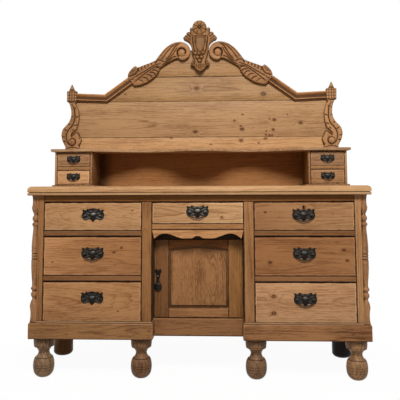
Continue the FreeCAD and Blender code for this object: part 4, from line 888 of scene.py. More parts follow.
plate_cuts = [([(0.30, 0.42), (0.48, 0.33), (0.62, 0.30)], 0.030, 0.030),
              ([(0.56, 0.50), (0.60, 0.40), (0.58, 0.30)], 0.025, 0.030),
              ([(0.78, 0.40), (0.76, 0.20), (0.88, 0.06)], 0.030, 0.030),
              ([(0.10, 0.40), (0.18, 0.30), (0.34, 0.22)], 0.028, 0.030),
              ([(0.60, -0.30), (0.74, -0.36), (0.86, -0.20)], 0.030, 0.030),
              ([(0.20, -0.38), (0.42, -0.34), (0.60, -0.42)], 0.028, 0.028)]
# A rib is raised a little and painted bare bronze, partly as a painted highlight.
plate_ribs = [([(0.33, 0.12), (0.46, 0.19), (0.60, 0.25), (0.76, 0.27)], 0.045, 0.7),
              ([(0.56, -0.02), (0.66, 0.07), (0.80, 0.03), (0.87, -0.12)], 0.045, 0.8),
              ([(0.28, -0.16), (0.42, -0.20), (0.58, -0.31), (0.72, -0.30)], 0.045, 0.8),
              ([(0.06, 0.39), (0.24, 0.36), (0.42, 0.43)], 0.040, 0.7)]
# Profile of a post: how far out as a share of its reach, and how wide as a share of its radius.
post_profile = [(0.0, 1.0), (0.35, 1.0), (0.5, 0.80), (0.62, 1.0), (0.9, 0.97), (1.0, 0.72)]
post_sides = 18


def folded_over(flat):
    """The same points, with the left half laid over the right one."""
    return np.abs(flat) * (1, 0) + flat * (0, 1)


def handle_plate_shape(half, board, shield_rise, post_x, post_radius, post_reach, cell):
    """Relief of one plate about its own middle, its posts standing on it."""
    side = [[(x * half, z * half) for x, z in stretch] for stretch in plate_edge]
    other = [[(-x, z) for x, z in stretch[::-1]] for stretch in side[::-1]]
    outline = edge_points(side + other, cell)
    holes = [flowing([(sign * x * half, z * half) for x, z in plate_opening], cell, closed=True)
             for sign in (-1, 1)]

    def rise(flat, rim):
        folded = folded_over(flat) / half
        height = board * (0.45 + 0.55 * np.clip(rim / (0.045 * half), 0.0, 1.0) ** 0.6)
        cuts = cut_depth(folded, plate_cuts) * half * 0.9
        ribs = cut_depth(folded, plate_ribs)
        height = height - np.minimum(cuts, board * 0.55) + ribs * 0.15 * board
        inside = within(flat, shield_edge * half)
        depth = gap_to(flat, ring_of(shield_edge) * half)[0]
        slope = np.clip(depth / (0.10 * half), 0.0, 1.0)
        ridge = np.exp(-(flat[:, 0] / (0.05 * half)) ** 2) * 0.15
        brow = dome(np.hypot(flat[:, 0] / (0.25 * half), (flat[:, 1] / half - 0.11) / 0.12), 1.0)
        crest = board + shield_rise * np.clip(0.35 * slope + ridge * slope + 0.6 * brow, 0.0, 1.0)
        height = np.where(inside, np.maximum(height, crest), height)
        for sign in (-1, 1):
            gap = np.hypot(flat[:, 0] - sign * post_x, flat[:, 1])
            height = np.maximum(height, board + 0.5 * board * dome(gap, post_radius * 1.7))
        wear_and_shine = 0.22 * np.clip(cuts / (board * 0.5), 0.0, 1.0) * (rim < 0.12 * half)
        wear_and_shine = wear_and_shine + np.where(inside, brow, 0.0)
        return height, np.maximum(wear_and_shine, np.where(inside, 0.0, 0.85 * ribs))

    # Hands reach the sides and the back of a plate less than its front.
    places, faces, wear_and_shine = relief(outline, holes, rise, cell, 0.0)
    wear_and_shine[len(wear_and_shine) // 2:] *= 0.3
    places, wear_and_shine = places.tolist(), wear_and_shine.tolist()
    for sign in (-1, 1):
        faces += hoop_faces(len(places), len(post_profile), post_sides)
        for share, wide in post_profile:
            wide = wide * post_radius
            places += hoop((sign * post_x, -post_reach * share, 0), (wide, 0, 0), (0, 0, wide), post_sides)
            wear_and_shine += [0.75 if share > 0.85 else 0.15] * post_sides
    return places, faces, wear_and_shine


large_plate = handle_plate_shape(half=0.056, board=0.0026, shield_rise=0.0030, post_x=0.037,
                                 post_radius=0.0045, post_reach=0.0135, cell=0.0013)
small_plate = handle_plate_shape(half=0.038, board=0.0020, shield_rise=0.0020, post_x=0.02525,
                                 post_radius=0.0031, post_reach=0.0104, cell=0.0011)
large_plate_y, small_plate_y = -0.235, 0.031
sides = (("left", -1), ("right", 1))
handle_places = {}
for side, sign in sides:
    for row, height in (("top", 0.7958), ("middle", 0.6068), ("bottom", 0.3888)):
        handle_places[side + "_" + row] = (0.523 * sign, height)
handle_places["centre"] = (0.0, 0.8122)
for side, sign in sides:
    for row, height in (("upper", 1.0891), ("lower", 0.9929)):
        handle_places["small_" + side + "_" + row] = (0.697 * sign, height)
for name, (across, height) in handle_places.items():
    small = name.startswith("small")
    places, faces, wear_and_shine = small_plate if small else large_plate
    place = Vector((across, small_plate_y if small else large_plate_y, height))
    # Two plates are painted brighter still, worn and partly a painted highlight.
    polish_and_shine = 0.9 if name in ("left_top", "centre") else 0.40
    bronze_piece("plate." + name, [Vector(p) + place for p in places], faces,
                 [share * polish_and_shine for share in wear_and_shine], name + "_drawer", "plate_" + name)

# Bails
# A cast half-oval ring swings on pins in the two posts of each plate.  It thickens to a
# grip at the bottom, with a bead at each side.  Two of them were left turned up.
ring_sides, ball_sides = 12, 14


def bail_line(reach, low, side_curve, spacing):
    """Middle of the ring: a tight arc at each side and a wide one below, that meet smoothly."""
    offset = reach - side_curve
    base = (offset ** 2 + low ** 2 - side_curve ** 2) / (2 * (low - side_curve))
    turns = math.atan2(base - low, offset) * np.arange(13) / 12
    line = [(offset + side_curve * math.cos(a), -side_curve * math.sin(a)) for a in turns]
    swings = math.atan2(offset, base - low) * (1 - np.arange(1, 15) / 14)
    line += [(base * math.sin(a), base - low - base * math.cos(a)) for a in swings]
    return flowing(line + [(-x, z) for x, z in line[-2::-1]], spacing)


def bail_shape(reach, drop, side_curve, rod, pin, knuckle, post_x, post_radius, spacing):
    """Ring, end balls and pins of a bail hanging from its own pivot line."""
    path = bail_line(reach, drop - rod, side_curve, spacing)
    run = np.concatenate([[0.0], np.cumsum(np.linalg.norm(np.diff(path, axis=0), axis=1))])
    share = np.abs(run / run[-1] * 2 - 1)
    grip = 0.22 * np.exp(-(share / 0.20) ** 2)
    bead = 0.20 * np.exp(-((share - 0.36) / 0.035) ** 2)
    shoulder = 0.12 * np.exp(-((share - 0.92) / 0.06) ** 2)
    thick = rod * (1.02 + grip + bead + shoulder)
    heading = np.gradient(path, axis=0)
    heading /= np.linalg.norm(heading, axis=1)[:, None]
    outer_side = np.maximum(0.0, np.sin(np.arange(ring_sides) * 2 * math.pi / ring_sides))
    places, wear_and_shine = [], []
    for (x, z), (dx, dz), radius, out in zip(path, heading, thick, share):
        places += hoop((x, 0, z), (-dz * radius, 0, dx * radius), (0, -radius, 0), ring_sides)
        # The front of the ring is a little paler, worn and partly a painted highlight.
        wear_and_shine += (outer_side * (0.12 - 0.08 * out)).tolist()
    faces = hoop_faces(0, len(path), ring_sides, mirrored=True)
    spans = [(reach + knuckle * 0.95, knuckle * 0.25), (reach + knuckle * 0.7, knuckle * 0.72),
             (reach, knuckle), (reach - knuckle * 0.7, knuckle * 0.72),
             (reach - knuckle * 0.85, pin), (post_x - post_radius * 0.6, pin)]
    for sign in (-1, 1):
        faces += hoop_faces(len(places), len(spans), ball_sides, mirrored=sign < 0)
        for out, wide in spans:
            places += hoop((sign * out, 0, 0), (0, wide, 0), (0, 0, wide), ball_sides)
            wear_and_shine += [0.2] * ball_sides
    return places, faces, wear_and_shine


large_bail = bail_shape(reach=0.046, drop=0.034, side_curve=0.020, rod=0.0027, pin=0.0020,
                        knuckle=0.0033, post_x=0.037, post_radius=0.0048, spacing=0.0016)
small_bail = bail_shape(reach=0.0315, drop=0.023, side_curve=0.014, rod=0.0019, pin=0.0014,
                        knuckle=0.0023, post_x=0.02525, post_radius=0.0033, spacing=0.0013)
large_pivot_y, small_pivot_y = -0.2446, 0.0236
turned_up = 184.0
for name, (across, height) in handle_places.items():
    small = name.startswith("small")
    places, faces, wear_and_shine = small_bail if small else large_bail
    pivot = Vector((across, small_pivot_y if small else large_pivot_y, height))
    lifted = math.radians(turned_up if name in ("left_top", "left_bottom") else 0.0)
    swung = Matrix.Translation(pivot) @ Matrix.Rotation(-lifted, 4, "X")
    bronze_piece("bail." + name, [swung @ Vector(p) for p in places], faces, wear_and_shine, name + "_bail",
                 "bail_" + name, 50.0)

# Cupboard door
# Two stiles, an arched top rail and a bottom rail, mortised together round a fielded
# panel that floats in grooves.  It hangs on two butt hinges, and hands have darkened it;
# its arched top rail and one stile are painted darker still as shade of the apron and the post.
dress("hinge_leaves_fixed", iron)
dress("hinge_leaves_door", iron)
door_pine = pine("door.pine", (0.40, 0.195, 0.080), (0.17, 0.066, 0.022), ring=0.007, edge_wear_and_highlight=0.35,
                 edge_dirt_and_shade=0.95, line=2.4)
# The darkest, brownest tint, of the arched top rail, is painted shade under the apron, and the darker
# stile tint painted shade from the post beside it.
boarded("door_frame", door_pine, "door", edge=0.0013, grain="zzxx",
        tints=((0.47, 0.42, 0.36), (0.72, 0.67, 0.50), (0.83, 0.81, 0.78), (0.50, 0.35, 0.15)))
panel_pine = pine("panel.pine", (0.325, 0.153, 0.058), (0.135, 0.052, 0.016), ring=0.0085,
                  marking=1.25, edge_wear_and_highlight=0.3, edge_dirt_and_shade=0.9)
margin_y, margin_foot = -0.1485, 0.3435


def margin_polish_and_shadow(places):
    """Old polish darkens the sunk margin round the field, and along its foot it is painted black as the
    field's shadow.
    """
    at_foot = places[:, 2] < margin_foot
    return np.where(places[:, 1] > margin_y, np.where(at_foot, 0.85, 0.45), 0.0)


boarded("door_panel", panel_pine, "door", edge=0.0010, grain="z",
        hearts=((0.076, -0.0104, 0.0, -0.20),), dirt_and_shade=margin_polish_and_shadow)

# Pear drop of the door
# A cast plate shaped like a vase is nailed to the stile, and a flat pear swings from
# two lugs on it.
dress("door_handle_plate", bronze)
pear_pivot = Vector((-0.204, -0.164, 0.487))
pear_width, pear_length = 0.034, 0.072
pear_edge = [(0.095, -0.05), (0.10, -0.12), (0.19, -0.18), (0.21, -0.30), (0.24, -0.41), (0.40, -0.52),
             (0.53, -0.64), (0.56, -0.78), (0.45, -0.91), (0.22, -0.985), (0.0, -1.0)]
profile = flowing([(wide * pear_width, down * pear_length) for wide, down in pear_edge], 0.0012)[:-1]
pear_sides, eye_sides = 24, 20
front_side = np.maximum(0.0, -np.sin(np.arange(pear_sides) * 2 * math.pi / pear_sides))
places, wear_and_shine = [], []
for wide, down in profile:
    thick = min(0.0035, 0.0014 + wide * 0.22)
    collar = -0.56 < down / pear_length < -0.48
    places += hoop((0, 0, down), (wide, 0, 0), (0, thick, 0), pear_sides)
    # The front of the collar is paler, worn and partly a painted highlight.
    wear_and_shine += (front_side * (0.27 if collar else 0.02)).tolist()
faces = hoop_faces(0, len(profile), pear_sides, mirrored=True)
lowest, tip = sorted(faces.pop()), len(places)
places.append((0, 0, -pear_length))
wear_and_shine.append(0.3)
faces += [[a, tip, b] for a, b in zip(lowest, lowest[1:] + lowest[:1])]
eye_and_pin = ((0.0035, 0.0042), (0.0065, 0.0016))
for half_length, radius in eye_and_pin:
    faces += hoop_faces(len(places), 2, eye_sides)
    for end in (-half_length, half_length):
        places += hoop((end, 0, 0), (0, radius, 0), (0, 0, radius), eye_sides)
        wear_and_shine += [0.4] * eye_sides
bronze_piece("pear.drop", [Vector(p) + pear_pivot for p in places], faces, wear_and_shine, "door_drop",
             "door_handle_drop")

# Small drawer cases
# Thin pine boxes for two drawers each, standing on base boards at both ends of the
# worktop.
gallery_pine = pine("gallery.pine", (0.50, 0.280, 0.125), (0.25, 0.112, 0.040), ring=0.005,
                    edge_wear_and_highlight=0.5, edge_dirt_and_shade=0.95, line=1.8)
niche_x, niche_front = 0.5925, 0.033


def shaded_niche_sides(places):
    """The sides that face the niche are painted dark as shade."""
    return np.where((np.abs(places[:, 0]) < niche_x) & (places[:, 1] > niche_front), 0.76, 0.0)


boarded("small_drawer_cases", gallery_pine, edge=0.0008, dirt_and_shade=shaded_niche_sides,
        tints=((0.95, 0.93, 0.90), (0.72, 0.66, 0.60)))

# Gallery shelf
# One thin board over both cases.  Its front edge was sawn to two hollows with a round
# middle, and it is nailed down from above.
shelf_pine = pine("shelf.pine", (0.54, 0.320, 0.155), (0.25, 0.115, 0.045), ring=0.0065,
                  edge_wear_and_highlight=0.4, marking=1.3)
boarded("gallery_shelf", shelf_pine, edge=0.0022, hearts=((0.05, 0.05, 0.003, 0.02),),
        tints=((0.84, 0.86, 0.92),))

# Gallery back
# Four wide boards edge to edge, cut to the stepped and curved outline of the crest.
# The joints have opened a little and show as dark lines, and the boards have knots.
back_boards = boards_of("back_panel")
# Knots in millimetres: how far right of the middle and above the floor, and their size.
back_knots = [(372, 1482, 13), (434, 1328, 9), (588, 1309, 9), (244, 1274, 10), (427, 1270, 7),
              (238, 1206, 10), (382, 1217, 7), (60, 1186, 5), (200, 1325, 6), (406, 1333, 4),
              (237, 1292, 5), (249, 1360, 5), (511, 1359, 4), (405, 1236, 6), (341, 1191, 5),
              (-22, 1520, 11), (-31, 1260, 10), (-173, 1227, 7), (-450, 1489, 5), (384, 1240, 5),
              (386, 1262, 4), (420, 1236, 5)]
back_tints = [(1.14, 1.12, 1.09), (0.90, 0.91, 0.94), (0.77, 0.75, 0.67), (0.72, 0.68, 0.58)]
back_hearts = [(0.06, 0.07, 0.004, 0.01), (-0.02, 0.05, 0.006, 0.02), (0.0, 0.045, -0.004, 0.018),
               (0.02, 0.06, 0.0, 0.02)]
worktop_height, shelf_height = 0.94, 1.139
end_shade_left, end_shade_right = -0.575, -0.515
parts, back_pines = [], []
chance = random.Random("gallery back")
for index, board in enumerate(back_boards):
    places, faces = eased(board, 0.0016)
    low, high = places.min(0), places.max(0)
    own_knots = [((x / 1000 - (low[0] + high[0]) / 2), (z / 1000 - (low[2] + high[2]) / 2),
                  0.8 * size / 1000)
                 for x, z, size in back_knots if low[2] < z / 1000 < high[2]]
    back_pines.append(pine("back.%d.pine" % index, (0.51, 0.292, 0.135), (0.24, 0.112, 0.044),
                           ring=0.0095, marking=0.95, edge_dirt_and_shade=0.97, edge_wear_and_highlight=0.1, speckle=0.9,
                           line=4.4 if index == 3 else 1.6, knots=own_knots))
    if low[2] < 1.0:
        places, faces = sliced(places, faces, (shelf_height - 0.0015, shelf_height + 0.0015))
        turned_over, faces = sliced(places[:, ::-1], faces, (end_shade_left, end_shade_right))
        places = turned_over[:, ::-1]
    rings, local, half = wood_marks(places, chance, "x", back_hearts[index])
    # In the niche the back is painted darker as the shelf's shade, darker and redder towards the top under
    # the shelf and towards the left end beside the case.
    in_niche = (places[:, 2] < shelf_height) & (places[:, 1] < 0.26)
    end_shade = np.clip((end_shade_right - places[:, 0]) / (end_shade_right - end_shade_left), 0.0, 1.0)
    niche_wall = np.where(in_niche, 0.30 + end_shade * 0.58, 0.0)
    rise = (places[:, 2:] - worktop_height) / (shelf_height + 0.001 - worktop_height)
    niche_tint = (1.05, 0.90, 0.76) - rise * (0.28, 0.38, 0.50)
    tint = np.where(in_niche[:, None], niche_tint, back_tints[index]) * (1.0 + 0.04 * places[:, :1])
    parts.append((places, faces, rings, local, half, tint, niche_wall))
wooden("back.boards", parts, back_pines, "cabinet", ("back_panel",))

# Shoulder mouldings
# A small cornice was planed in one length, mitred at the knee and nailed along each
# shoulder of the back.
moulding_pine = pine("moulding.pine", (0.50, 0.280, 0.130), (0.22, 0.095, 0.034), ring=0.004,
                     edge_wear_and_highlight=0.2, edge_dirt_and_shade=0.2)
cove_front, step_front, step_back, cove_back = 0.2318, 0.2368, 0.24, 0.2405


def shaded_cove(places):
    """The cove and the lowest step of the cornice are painted dark as shade."""
    y = places[:, 1]
    cove = np.clip((y - cove_front) / 0.0012, 0.0, 0.92) * (y < cove_back)
    return np.where((y > step_front) & (y < step_back), 0.97, cove)


boarded("crest_moulding", moulding_pine, edge=0.0, grain="x", smooth=32.0, dirt_and_shade=shaded_cove,
        tints=((1.03, 0.90, 0.76),))

# Crest scrolls
# A volute running out into a leaf was carved from one thick piece for each slope, and
# glued to the face of the back.  Every cut is dark with old polish and painted shade, and
# the sides are painted black as shade.
carved_pine = pine("carved.pine", (0.42, 0.215, 0.098), (0.15, 0.066, 0.027), ring=0.007,
                   marking=0.95, edge_wear_and_highlight=0.0, edge_dirt_and_shade=0.0, speckle=0.3, gloss=0.40)
carved_cell = 0.0017
shelf_top = np.array((0.0, 0.0, 1.146))
crest_stretch = (1.0, 1.0, 1.00777)
back_face = 0.247


def metre_edge(edge):
    """A closed outline from stretches drawn in millimetres."""
    return edge_points([[(x / 1000, z / 1000) for x, z in stretch] for stretch in edge], carved_cell)


def carved(name, outline, rise, grain, mirror=False, tint=1.0, shift=0.0):
    """A carving glued to the back's face, as left or right hand.  Its sides are painted black as
    shade, and heights above the shelf are drawn for a crest 0.8 % lower."""
    chance = random.Random(name)
    places, faces, hollow = relief(np.array(outline), [], rise, carved_cell, back_face, dirt_and_shade_share=0.97)
    places = (places - shelf_top) * crest_stretch + shelf_top
    if mirror:
        places = places * (-1, 1, 1)
        faces = [face[::-1] for face in faces]
    places = places + (shift, 0, 0)
    rings, local, _ = wood_marks(places, chance, grain)
    return places, faces, rings, local, 1.0, tint, hollow


scroll_edge = [
    [(263, 1684), (293, 1671), (331, 1657), (371, 1642)],
    [(371, 1642), (382, 1651), (394, 1646), (408, 1633), (423, 1614), (430, 1590), (420, 1566)],
    [(420, 1566), (406, 1552), (392, 1533)],
    [(392, 1533), (358, 1536), (323, 1548), (292, 1566), (268, 1584), (252, 1603), (241, 1622),
     (232, 1642)],
    [(232, 1642), (190, 1668), (150, 1689), (129, 1696)],
    [(129, 1696), (108, 1683), (86, 1686), (66, 1701), (57, 1720), (55, 1740), (61, 1761), (77, 1780),
     (99, 1791), (124, 1794), (157, 1787), (187, 1771), (214, 1748), (238, 1719), (263, 1684)]]
# Gouge strokes of every carving: a line in millimetres, its width and its depth.
scroll_cuts = [
    ([(116, 1786), (140, 1771), (158, 1745), (178, 1712), (203, 1681)], 2.6, 4.5),
    ([(128, 1788), (160, 1769), (190, 1738), (214, 1706), (230, 1684)], 2.4, 4.0),
    ([(134, 1760), (148, 1735), (168, 1708), (192, 1682), (208, 1672)], 2.4, 4.5),
    ([(158, 1782), (190, 1758), (218, 1728), (240, 1700)], 2.0, 3.0),
    ([(136, 1705), (158, 1702), (176, 1686), (200, 1668), (228, 1654)], 2.4, 4.5),
    ([(208, 1672), (222, 1678), (238, 1684), (262, 1683)], 2.2, 4.5),
    ([(228, 1664), (258, 1657), (291, 1641), (328, 1618), (369, 1594), (392, 1582)], 2.2, 5.0),
    ([(232, 1647), (265, 1643), (302, 1622), (339, 1595), (372, 1568), (391, 1552)], 2.2, 5.0),
    ([(262, 1683), (259, 1674), (266, 1664)], 2.6, 5.0),
    ([(283, 1676), (288, 1664), (287, 1655)], 2.4, 4.5),
    ([(303, 1668), (309, 1655), (307, 1646)], 2.4, 4.5),
    ([(322, 1661), (328, 1647), (325, 1636)], 2.4, 4.5),
    ([(342, 1653), (348, 1638), (344, 1625)], 2.4, 4.5),
    ([(361, 1645), (366, 1629), (361, 1615)], 2.4, 4.5),
    ([(238, 1632), (249, 1640), (262, 1640)], 2.4, 4.5),
    ([(247, 1612), (262, 1624), (282, 1624)], 2.4, 4.5),
    ([(262, 1594), (277, 1610), (299, 1611)], 2.4, 4.5),
    ([(281, 1577), (296, 1594), (318, 1597)], 2.4, 4.5),
    ([(305, 1560), (318, 1577), (340, 1581)], 2.4, 4.5),
    ([(335, 1549), (346, 1562), (362, 1566)], 2.2, 3.5),
    ([(370, 1644), (372, 1622), (384, 1604), (408, 1592), (425, 1588)], 2.6, 5.0),
    ([(384, 1640), (390, 1624), (402, 1612)], 2.2, 3.5),
    ([(402, 1632), (406, 1618), (418, 1606)], 2.2, 3.5),
    ([(392, 1582), (400, 1572), (414, 1566)], 2.4, 4.5)]
volute_eye = (0.107, 1.729)
spiral_turns = ((-158, 19), (-180, 22), (-220, 25), (-260, 26.5), (-300, 27), (-340, 27), (-20, 27.5),
                (-45, 30), (-60, 34))
spiral = [(volute_eye[0] + radius / 1000 * math.cos(math.radians(angle)),
           volute_eye[1] + radius / 1000 * math.sin(math.radians(angle)))
          for angle, radius in spiral_turns]
leaf_stem = flowing([(0.229, 1.655), (0.262, 1.650), (0.297, 1.632), (0.334, 1.607), (0.372, 1.581),
                     (0.400, 1.560)], 0.004)
gouge_wider, gouge_deeper = 1.2, 1.25


def metres(strokes):
    """Gouge strokes in metres, each cut a little wider and deeper than it is drawn."""
    return [([(x / 1000, z / 1000) for x, z in line], gouge_wider * width / 1000,
             gouge_deeper * depth / 1000) for line, width, depth in strokes]


def gap_from(flat, spot):
    """Distance of every point from one spot."""
    return np.hypot(flat[:, 0] - spot[0], flat[:, 1] - spot[1])


def crowned(rim, flank):
    """Height share of a body that curves up from its rim over a flank and is flat inside."""
    return dome(flank - np.minimum(rim, flank), flank)


def scroll_rise(flat, rim):
    """Height and darkness of a leaf scroll, old polish and painted shade: body, stem, volute with its
    ball, groove and cuts.
    """
    body = 0.0185 + 0.0045 * crowned(rim, 0.017) + 0.0025 * dome(gap_to(flat, leaf_stem)[0], 0.012)
    eye_gap = gap_from(flat, volute_eye)
    band = 0.0170 + 0.0065 * np.clip(np.sin((eye_gap - 0.020) / 0.036 * math.pi), 0.0, 1.0) ** 0.7
    turning = np.clip((0.060 - eye_gap) / 0.010, 0.0, 1.0)
    height = body * (1 - turning) + np.maximum(band, body * 0.9) * turning
    ball = 0.011 + 0.0115 * dome(eye_gap, 0.024)
    height = np.where(eye_gap < 0.024, ball, height)
    groove = cut_depth(flat, [(spiral, 0.0030, 0.0105)])
    cuts = np.maximum(groove, cut_depth(flat, metres(scroll_cuts)))
    rounding = np.clip(rim / 0.0035, 0.0, 1.0)
    height = height - 0.0025 * (1 - rounding) ** 2 - cuts
    hollow = np.clip(cuts / 0.0055, 0.0, 0.9) + 0.25 * (1 - np.clip(rim / 0.003, 0.0, 1.0))
    return np.clip(height, 0.006, 0.0238), np.clip(hollow, 0.0, 1.0)


scroll_line = metre_edge(scroll_edge)
scroll_tint = (0.90, 0.85, 0.75)
crest_shift = -0.003
wooden("crest.scrolls",
       [carved("right scroll", scroll_line, scroll_rise, "x", False, scroll_tint, crest_shift),
        carved("left scroll", scroll_line, scroll_rise, "x", True, scroll_tint, crest_shift)],
       [carved_pine], "cabinet", ("crest_scrolls",), smooth=45.0)

# Middle ornament
# A leafy shield with a round rosette above and a bunch of grapes below, carved from one
# block and glued over the joint of the two scrolls.
ornament_edge = [
    [(0, 1906), (20, 1896), (38, 1871)], [(38, 1871), (46, 1875), (53, 1877), (60, 1871)],
    [(60, 1871), (61, 1860), (60, 1849)], [(60, 1849), (69, 1851), (78, 1849)],
    [(78, 1849), (81, 1842), (80, 1834)], [(80, 1834), (88, 1831), (101, 1815)],
    [(101, 1815), (94, 1803), (80, 1796), (65, 1784), (55, 1769), (50, 1745), (46, 1725),
     (41, 1707), (38, 1690)],
    [(38, 1690), (44, 1679), (57, 1659)], [(57, 1659), (50, 1648), (37, 1644)],
    [(37, 1644), (29, 1633), (20, 1621), (0, 1609)]]
rosette_middle, rosette_radius = (-0.003, 1.8753), 0.0426
ornament_cuts = [
    ([(50, 1852), (58, 1862), (60, 1872)], 2.4, 4.0), ([(54, 1838), (64, 1846), (77, 1850)], 2.4, 4.5),
    ([(58, 1818), (70, 1830), (80, 1838)], 2.4, 4.5), ([(60, 1800), (74, 1814), (88, 1826)], 2.2, 4.0),
    ([(62, 1790), (78, 1801), (95, 1812)], 2.0, 3.5), ([(49, 1826), (55, 1836), (56, 1850)], 2.0, 3.5),
    ([(46, 1826), (44, 1795), (38, 1755), (30, 1722)], 2.4, 5.0),
    ([(30, 1818), (27, 1780), (20, 1748), (8, 1733)], 2.2, 5.0),
    ([(31, 1786), (38, 1784), (45, 1786)], 2.0, 4.0),
    ([(0, 1827), (16, 1826), (31, 1822), (40, 1824)], 2.0, 4.5),
    ([(44, 1680), (40, 1665), (46, 1650)], 2.0, 4.0), ([(52, 1662), (47, 1656), (45, 1648)], 1.8, 3.0),
    ([(36, 1688), (32, 1668), (34, 1648)], 2.2, 4.5),
    ([(0, 1656), (1, 1640), (0, 1622)], 1.8, 3.5), ([(10, 1655), (12, 1640), (9, 1627)], 1.8, 3.5),
    ([(20, 1655), (23, 1644), (19, 1634)], 1.8, 3.5)]
panel_edge = np.array([(-0.028, 1.819), (0.028, 1.819), (0.026, 1.780), (0.019, 1.750), (0.008, 1.735),
                       (-0.008, 1.735), (-0.019, 1.750), (-0.026, 1.780)])
grape_spots = [(-0.028, 1.719), (-0.005, 1.718), (0.018, 1.722), (-0.016, 1.695), (0.008, 1.695),
               (-0.003, 1.674)]
grape_radius = 0.0108
bead_pitch = 0.011


def shield_rise(flat, rim):
    """Height and darkness of the shield, old polish and painted shade: body, sunk panel, beaded strips
    beside it, and cuts.
    """
    folded = folded_over(flat)
    height = 0.0265 + 0.0045 * crowned(rim, 0.016) + 0.007 * np.exp(-(flat[:, 0] / 0.048) ** 2)
    inside = within(flat, panel_edge)
    sunk = gap_to(flat, ring_of(panel_edge))[0]
    height = np.where(inside, height - np.clip(sunk / 0.005, 0.0, 1.0) * 0.006, height)
    strips = np.exp(-((folded[:, 0] - (0.020 + (folded[:, 1] - 1.735) * 0.19)) / 0.0030) ** 2)
    strips *= (flat[:, 1] > 1.737) & (flat[:, 1] < 1.818) & ~inside
    height += strips * (0.0022 + 0.0010 * np.sin(flat[:, 1] * 2 * math.pi / bead_pitch))
    cuts = cut_depth(folded, metres(ornament_cuts))
    oval = np.exp(-((flat[:, 0] / 0.008) ** 2 + ((flat[:, 1] - 1.822) / 0.0028) ** 2)) * 0.004
    cuts = np.maximum(cuts, oval)
    hollow = np.maximum(np.clip(cuts / 0.0055, 0.0, 0.9), np.where(inside, 0.28, 0.0))
    return height - cuts, hollow


def with_grapes(flat, height, hollow):
    """The bunch of grapes raised on the shield, with painted shade in the crevices round them and on their
    rims, and low ground darker.
    """
    bunch = np.zeros(len(flat))
    crevice = np.full(len(flat), 1e9)
    for spot in grape_spots:
        gap = gap_from(flat, spot)
        grape = 0.031 + 0.0160 * dome(gap, grape_radius + 0.0001)
        bunch = np.maximum(bunch, np.where(gap < grape_radius, grape, 0.0))
        crevice = np.minimum(crevice, gap - grape_radius)
    around_bunch = (crevice > 0) & (crevice < 0.006)
    moat = 0.004 * (1 - np.clip(crevice / 0.004, 0.0, 1.0))
    height = np.where(around_bunch, height - moat, height)
    hollow = np.maximum(hollow, np.clip((0.036 - height) / 0.010, 0.0, 1.0) * 0.35)
    hollow = np.where(around_bunch, np.maximum(hollow, 0.97 * (1 - crevice / 0.009)), hollow)
    hollow = np.where(crevice < 0, np.clip((crevice + 0.0015) / 0.0015, 0.0, 1.0) * 0.6, hollow)
    return np.where(crevice < 0, bunch, height), hollow


def with_rosette(flat, height, hollow):
    """The rosette on top: eight leaves with veins round a ringed button, in a moat painted dark as
    shade.  Also which points lie on it."""
    gap = gap_from(flat, rosette_middle)
    angle = np.arctan2(flat[:, 1] - rosette_middle[1], flat[:, 0] - rosette_middle[0])
    leaf = np.abs(np.mod(angle / (math.pi / 4) + 0.5, 1.0) - 0.5) * 2
    groove_width = 0.0022 / np.maximum(gap, 0.004) / (math.pi / 8)
    radial = np.exp(-((1 - leaf) / groove_width) ** 2)
    vein = np.exp(-(leaf / (groove_width * 0.7)) ** 2) * (gap > 0.014) * 0.55
    disc = 0.0345 + 0.0085 * np.sin(np.clip(gap / rosette_radius, 0, 1) * math.pi * 0.85 + 0.25)
    disc = disc - 0.0050 * radial - 0.0030 * vein
    disc = np.where(gap < 0.007, 0.0365 + 0.006 * dome(gap, 0.0075), disc)
    ringed = (gap > 0.007) & (gap < 0.0100)
    disc = np.where(ringed, disc - 0.003, disc)
    disc_hollow = np.clip(0.85 * radial + 0.5 * vein, 0, 0.85) + 0.5 * ringed
    below = (gap >= rosette_radius) & (gap < rosette_radius + 0.005)
    shade = 1 - np.clip((gap - rosette_radius) / 0.005, 0.0, 1.0)
    height = np.where(below, height - 0.005 * shade, height)
    hollow = np.where(below, np.maximum(hollow, 0.85 * shade), hollow)
    on_disc = gap < rosette_radius
    rolled = 0.004 * (1 - np.clip((rosette_radius - gap) / 0.005, 0.0, 1.0)) ** 2
    height = np.where(on_disc, disc - rolled, height)
    return height, np.where(on_disc, disc_hollow, hollow), on_disc


def ornament_rise(flat, rim):
    """Height and darkness of the whole ornament, old polish and painted shade."""
    height, hollow = with_grapes(flat, *shield_rise(flat, rim))
    height, hollow, on_disc = with_rosette(flat, height, hollow)
    edge = np.where(on_disc, 1.0, np.clip(rim / 0.004, 0.0, 1.0))
    height = height - 0.003 * (1 - edge) ** 2
    return np.clip(height, 0.010, 0.0475), np.clip(hollow, 0.0, 1.0)


half_line = [tuple(p) for p in metre_edge(ornament_edge)] + [(0.0, 1.609)]
leafy_line = half_line + [(-x, z) for x, z in half_line[-2:0:-1]]
leafy_line = [p for p in leafy_line if math.dist(p, rosette_middle) > rosette_radius * 1.01]
round_top = [(rosette_middle[0] + rosette_radius * math.cos(math.radians(a)),
              rosette_middle[1] + rosette_radius * math.sin(math.radians(a))) for a in range(188, -8, -3)]
ornament_line = [p for p in leafy_line if p[0] > rosette_middle[0]] + [
    p for p in leafy_line if p[0] <= rosette_middle[0]] + round_top
ornament_tint = (0.82, 0.79, 0.67)
wooden("middle.ornament", [carved("ornament", ornament_line, ornament_rise, "z", tint=ornament_tint)],
       [carved_pine], "cabinet", ("crest_cartouche",), smooth=45.0)

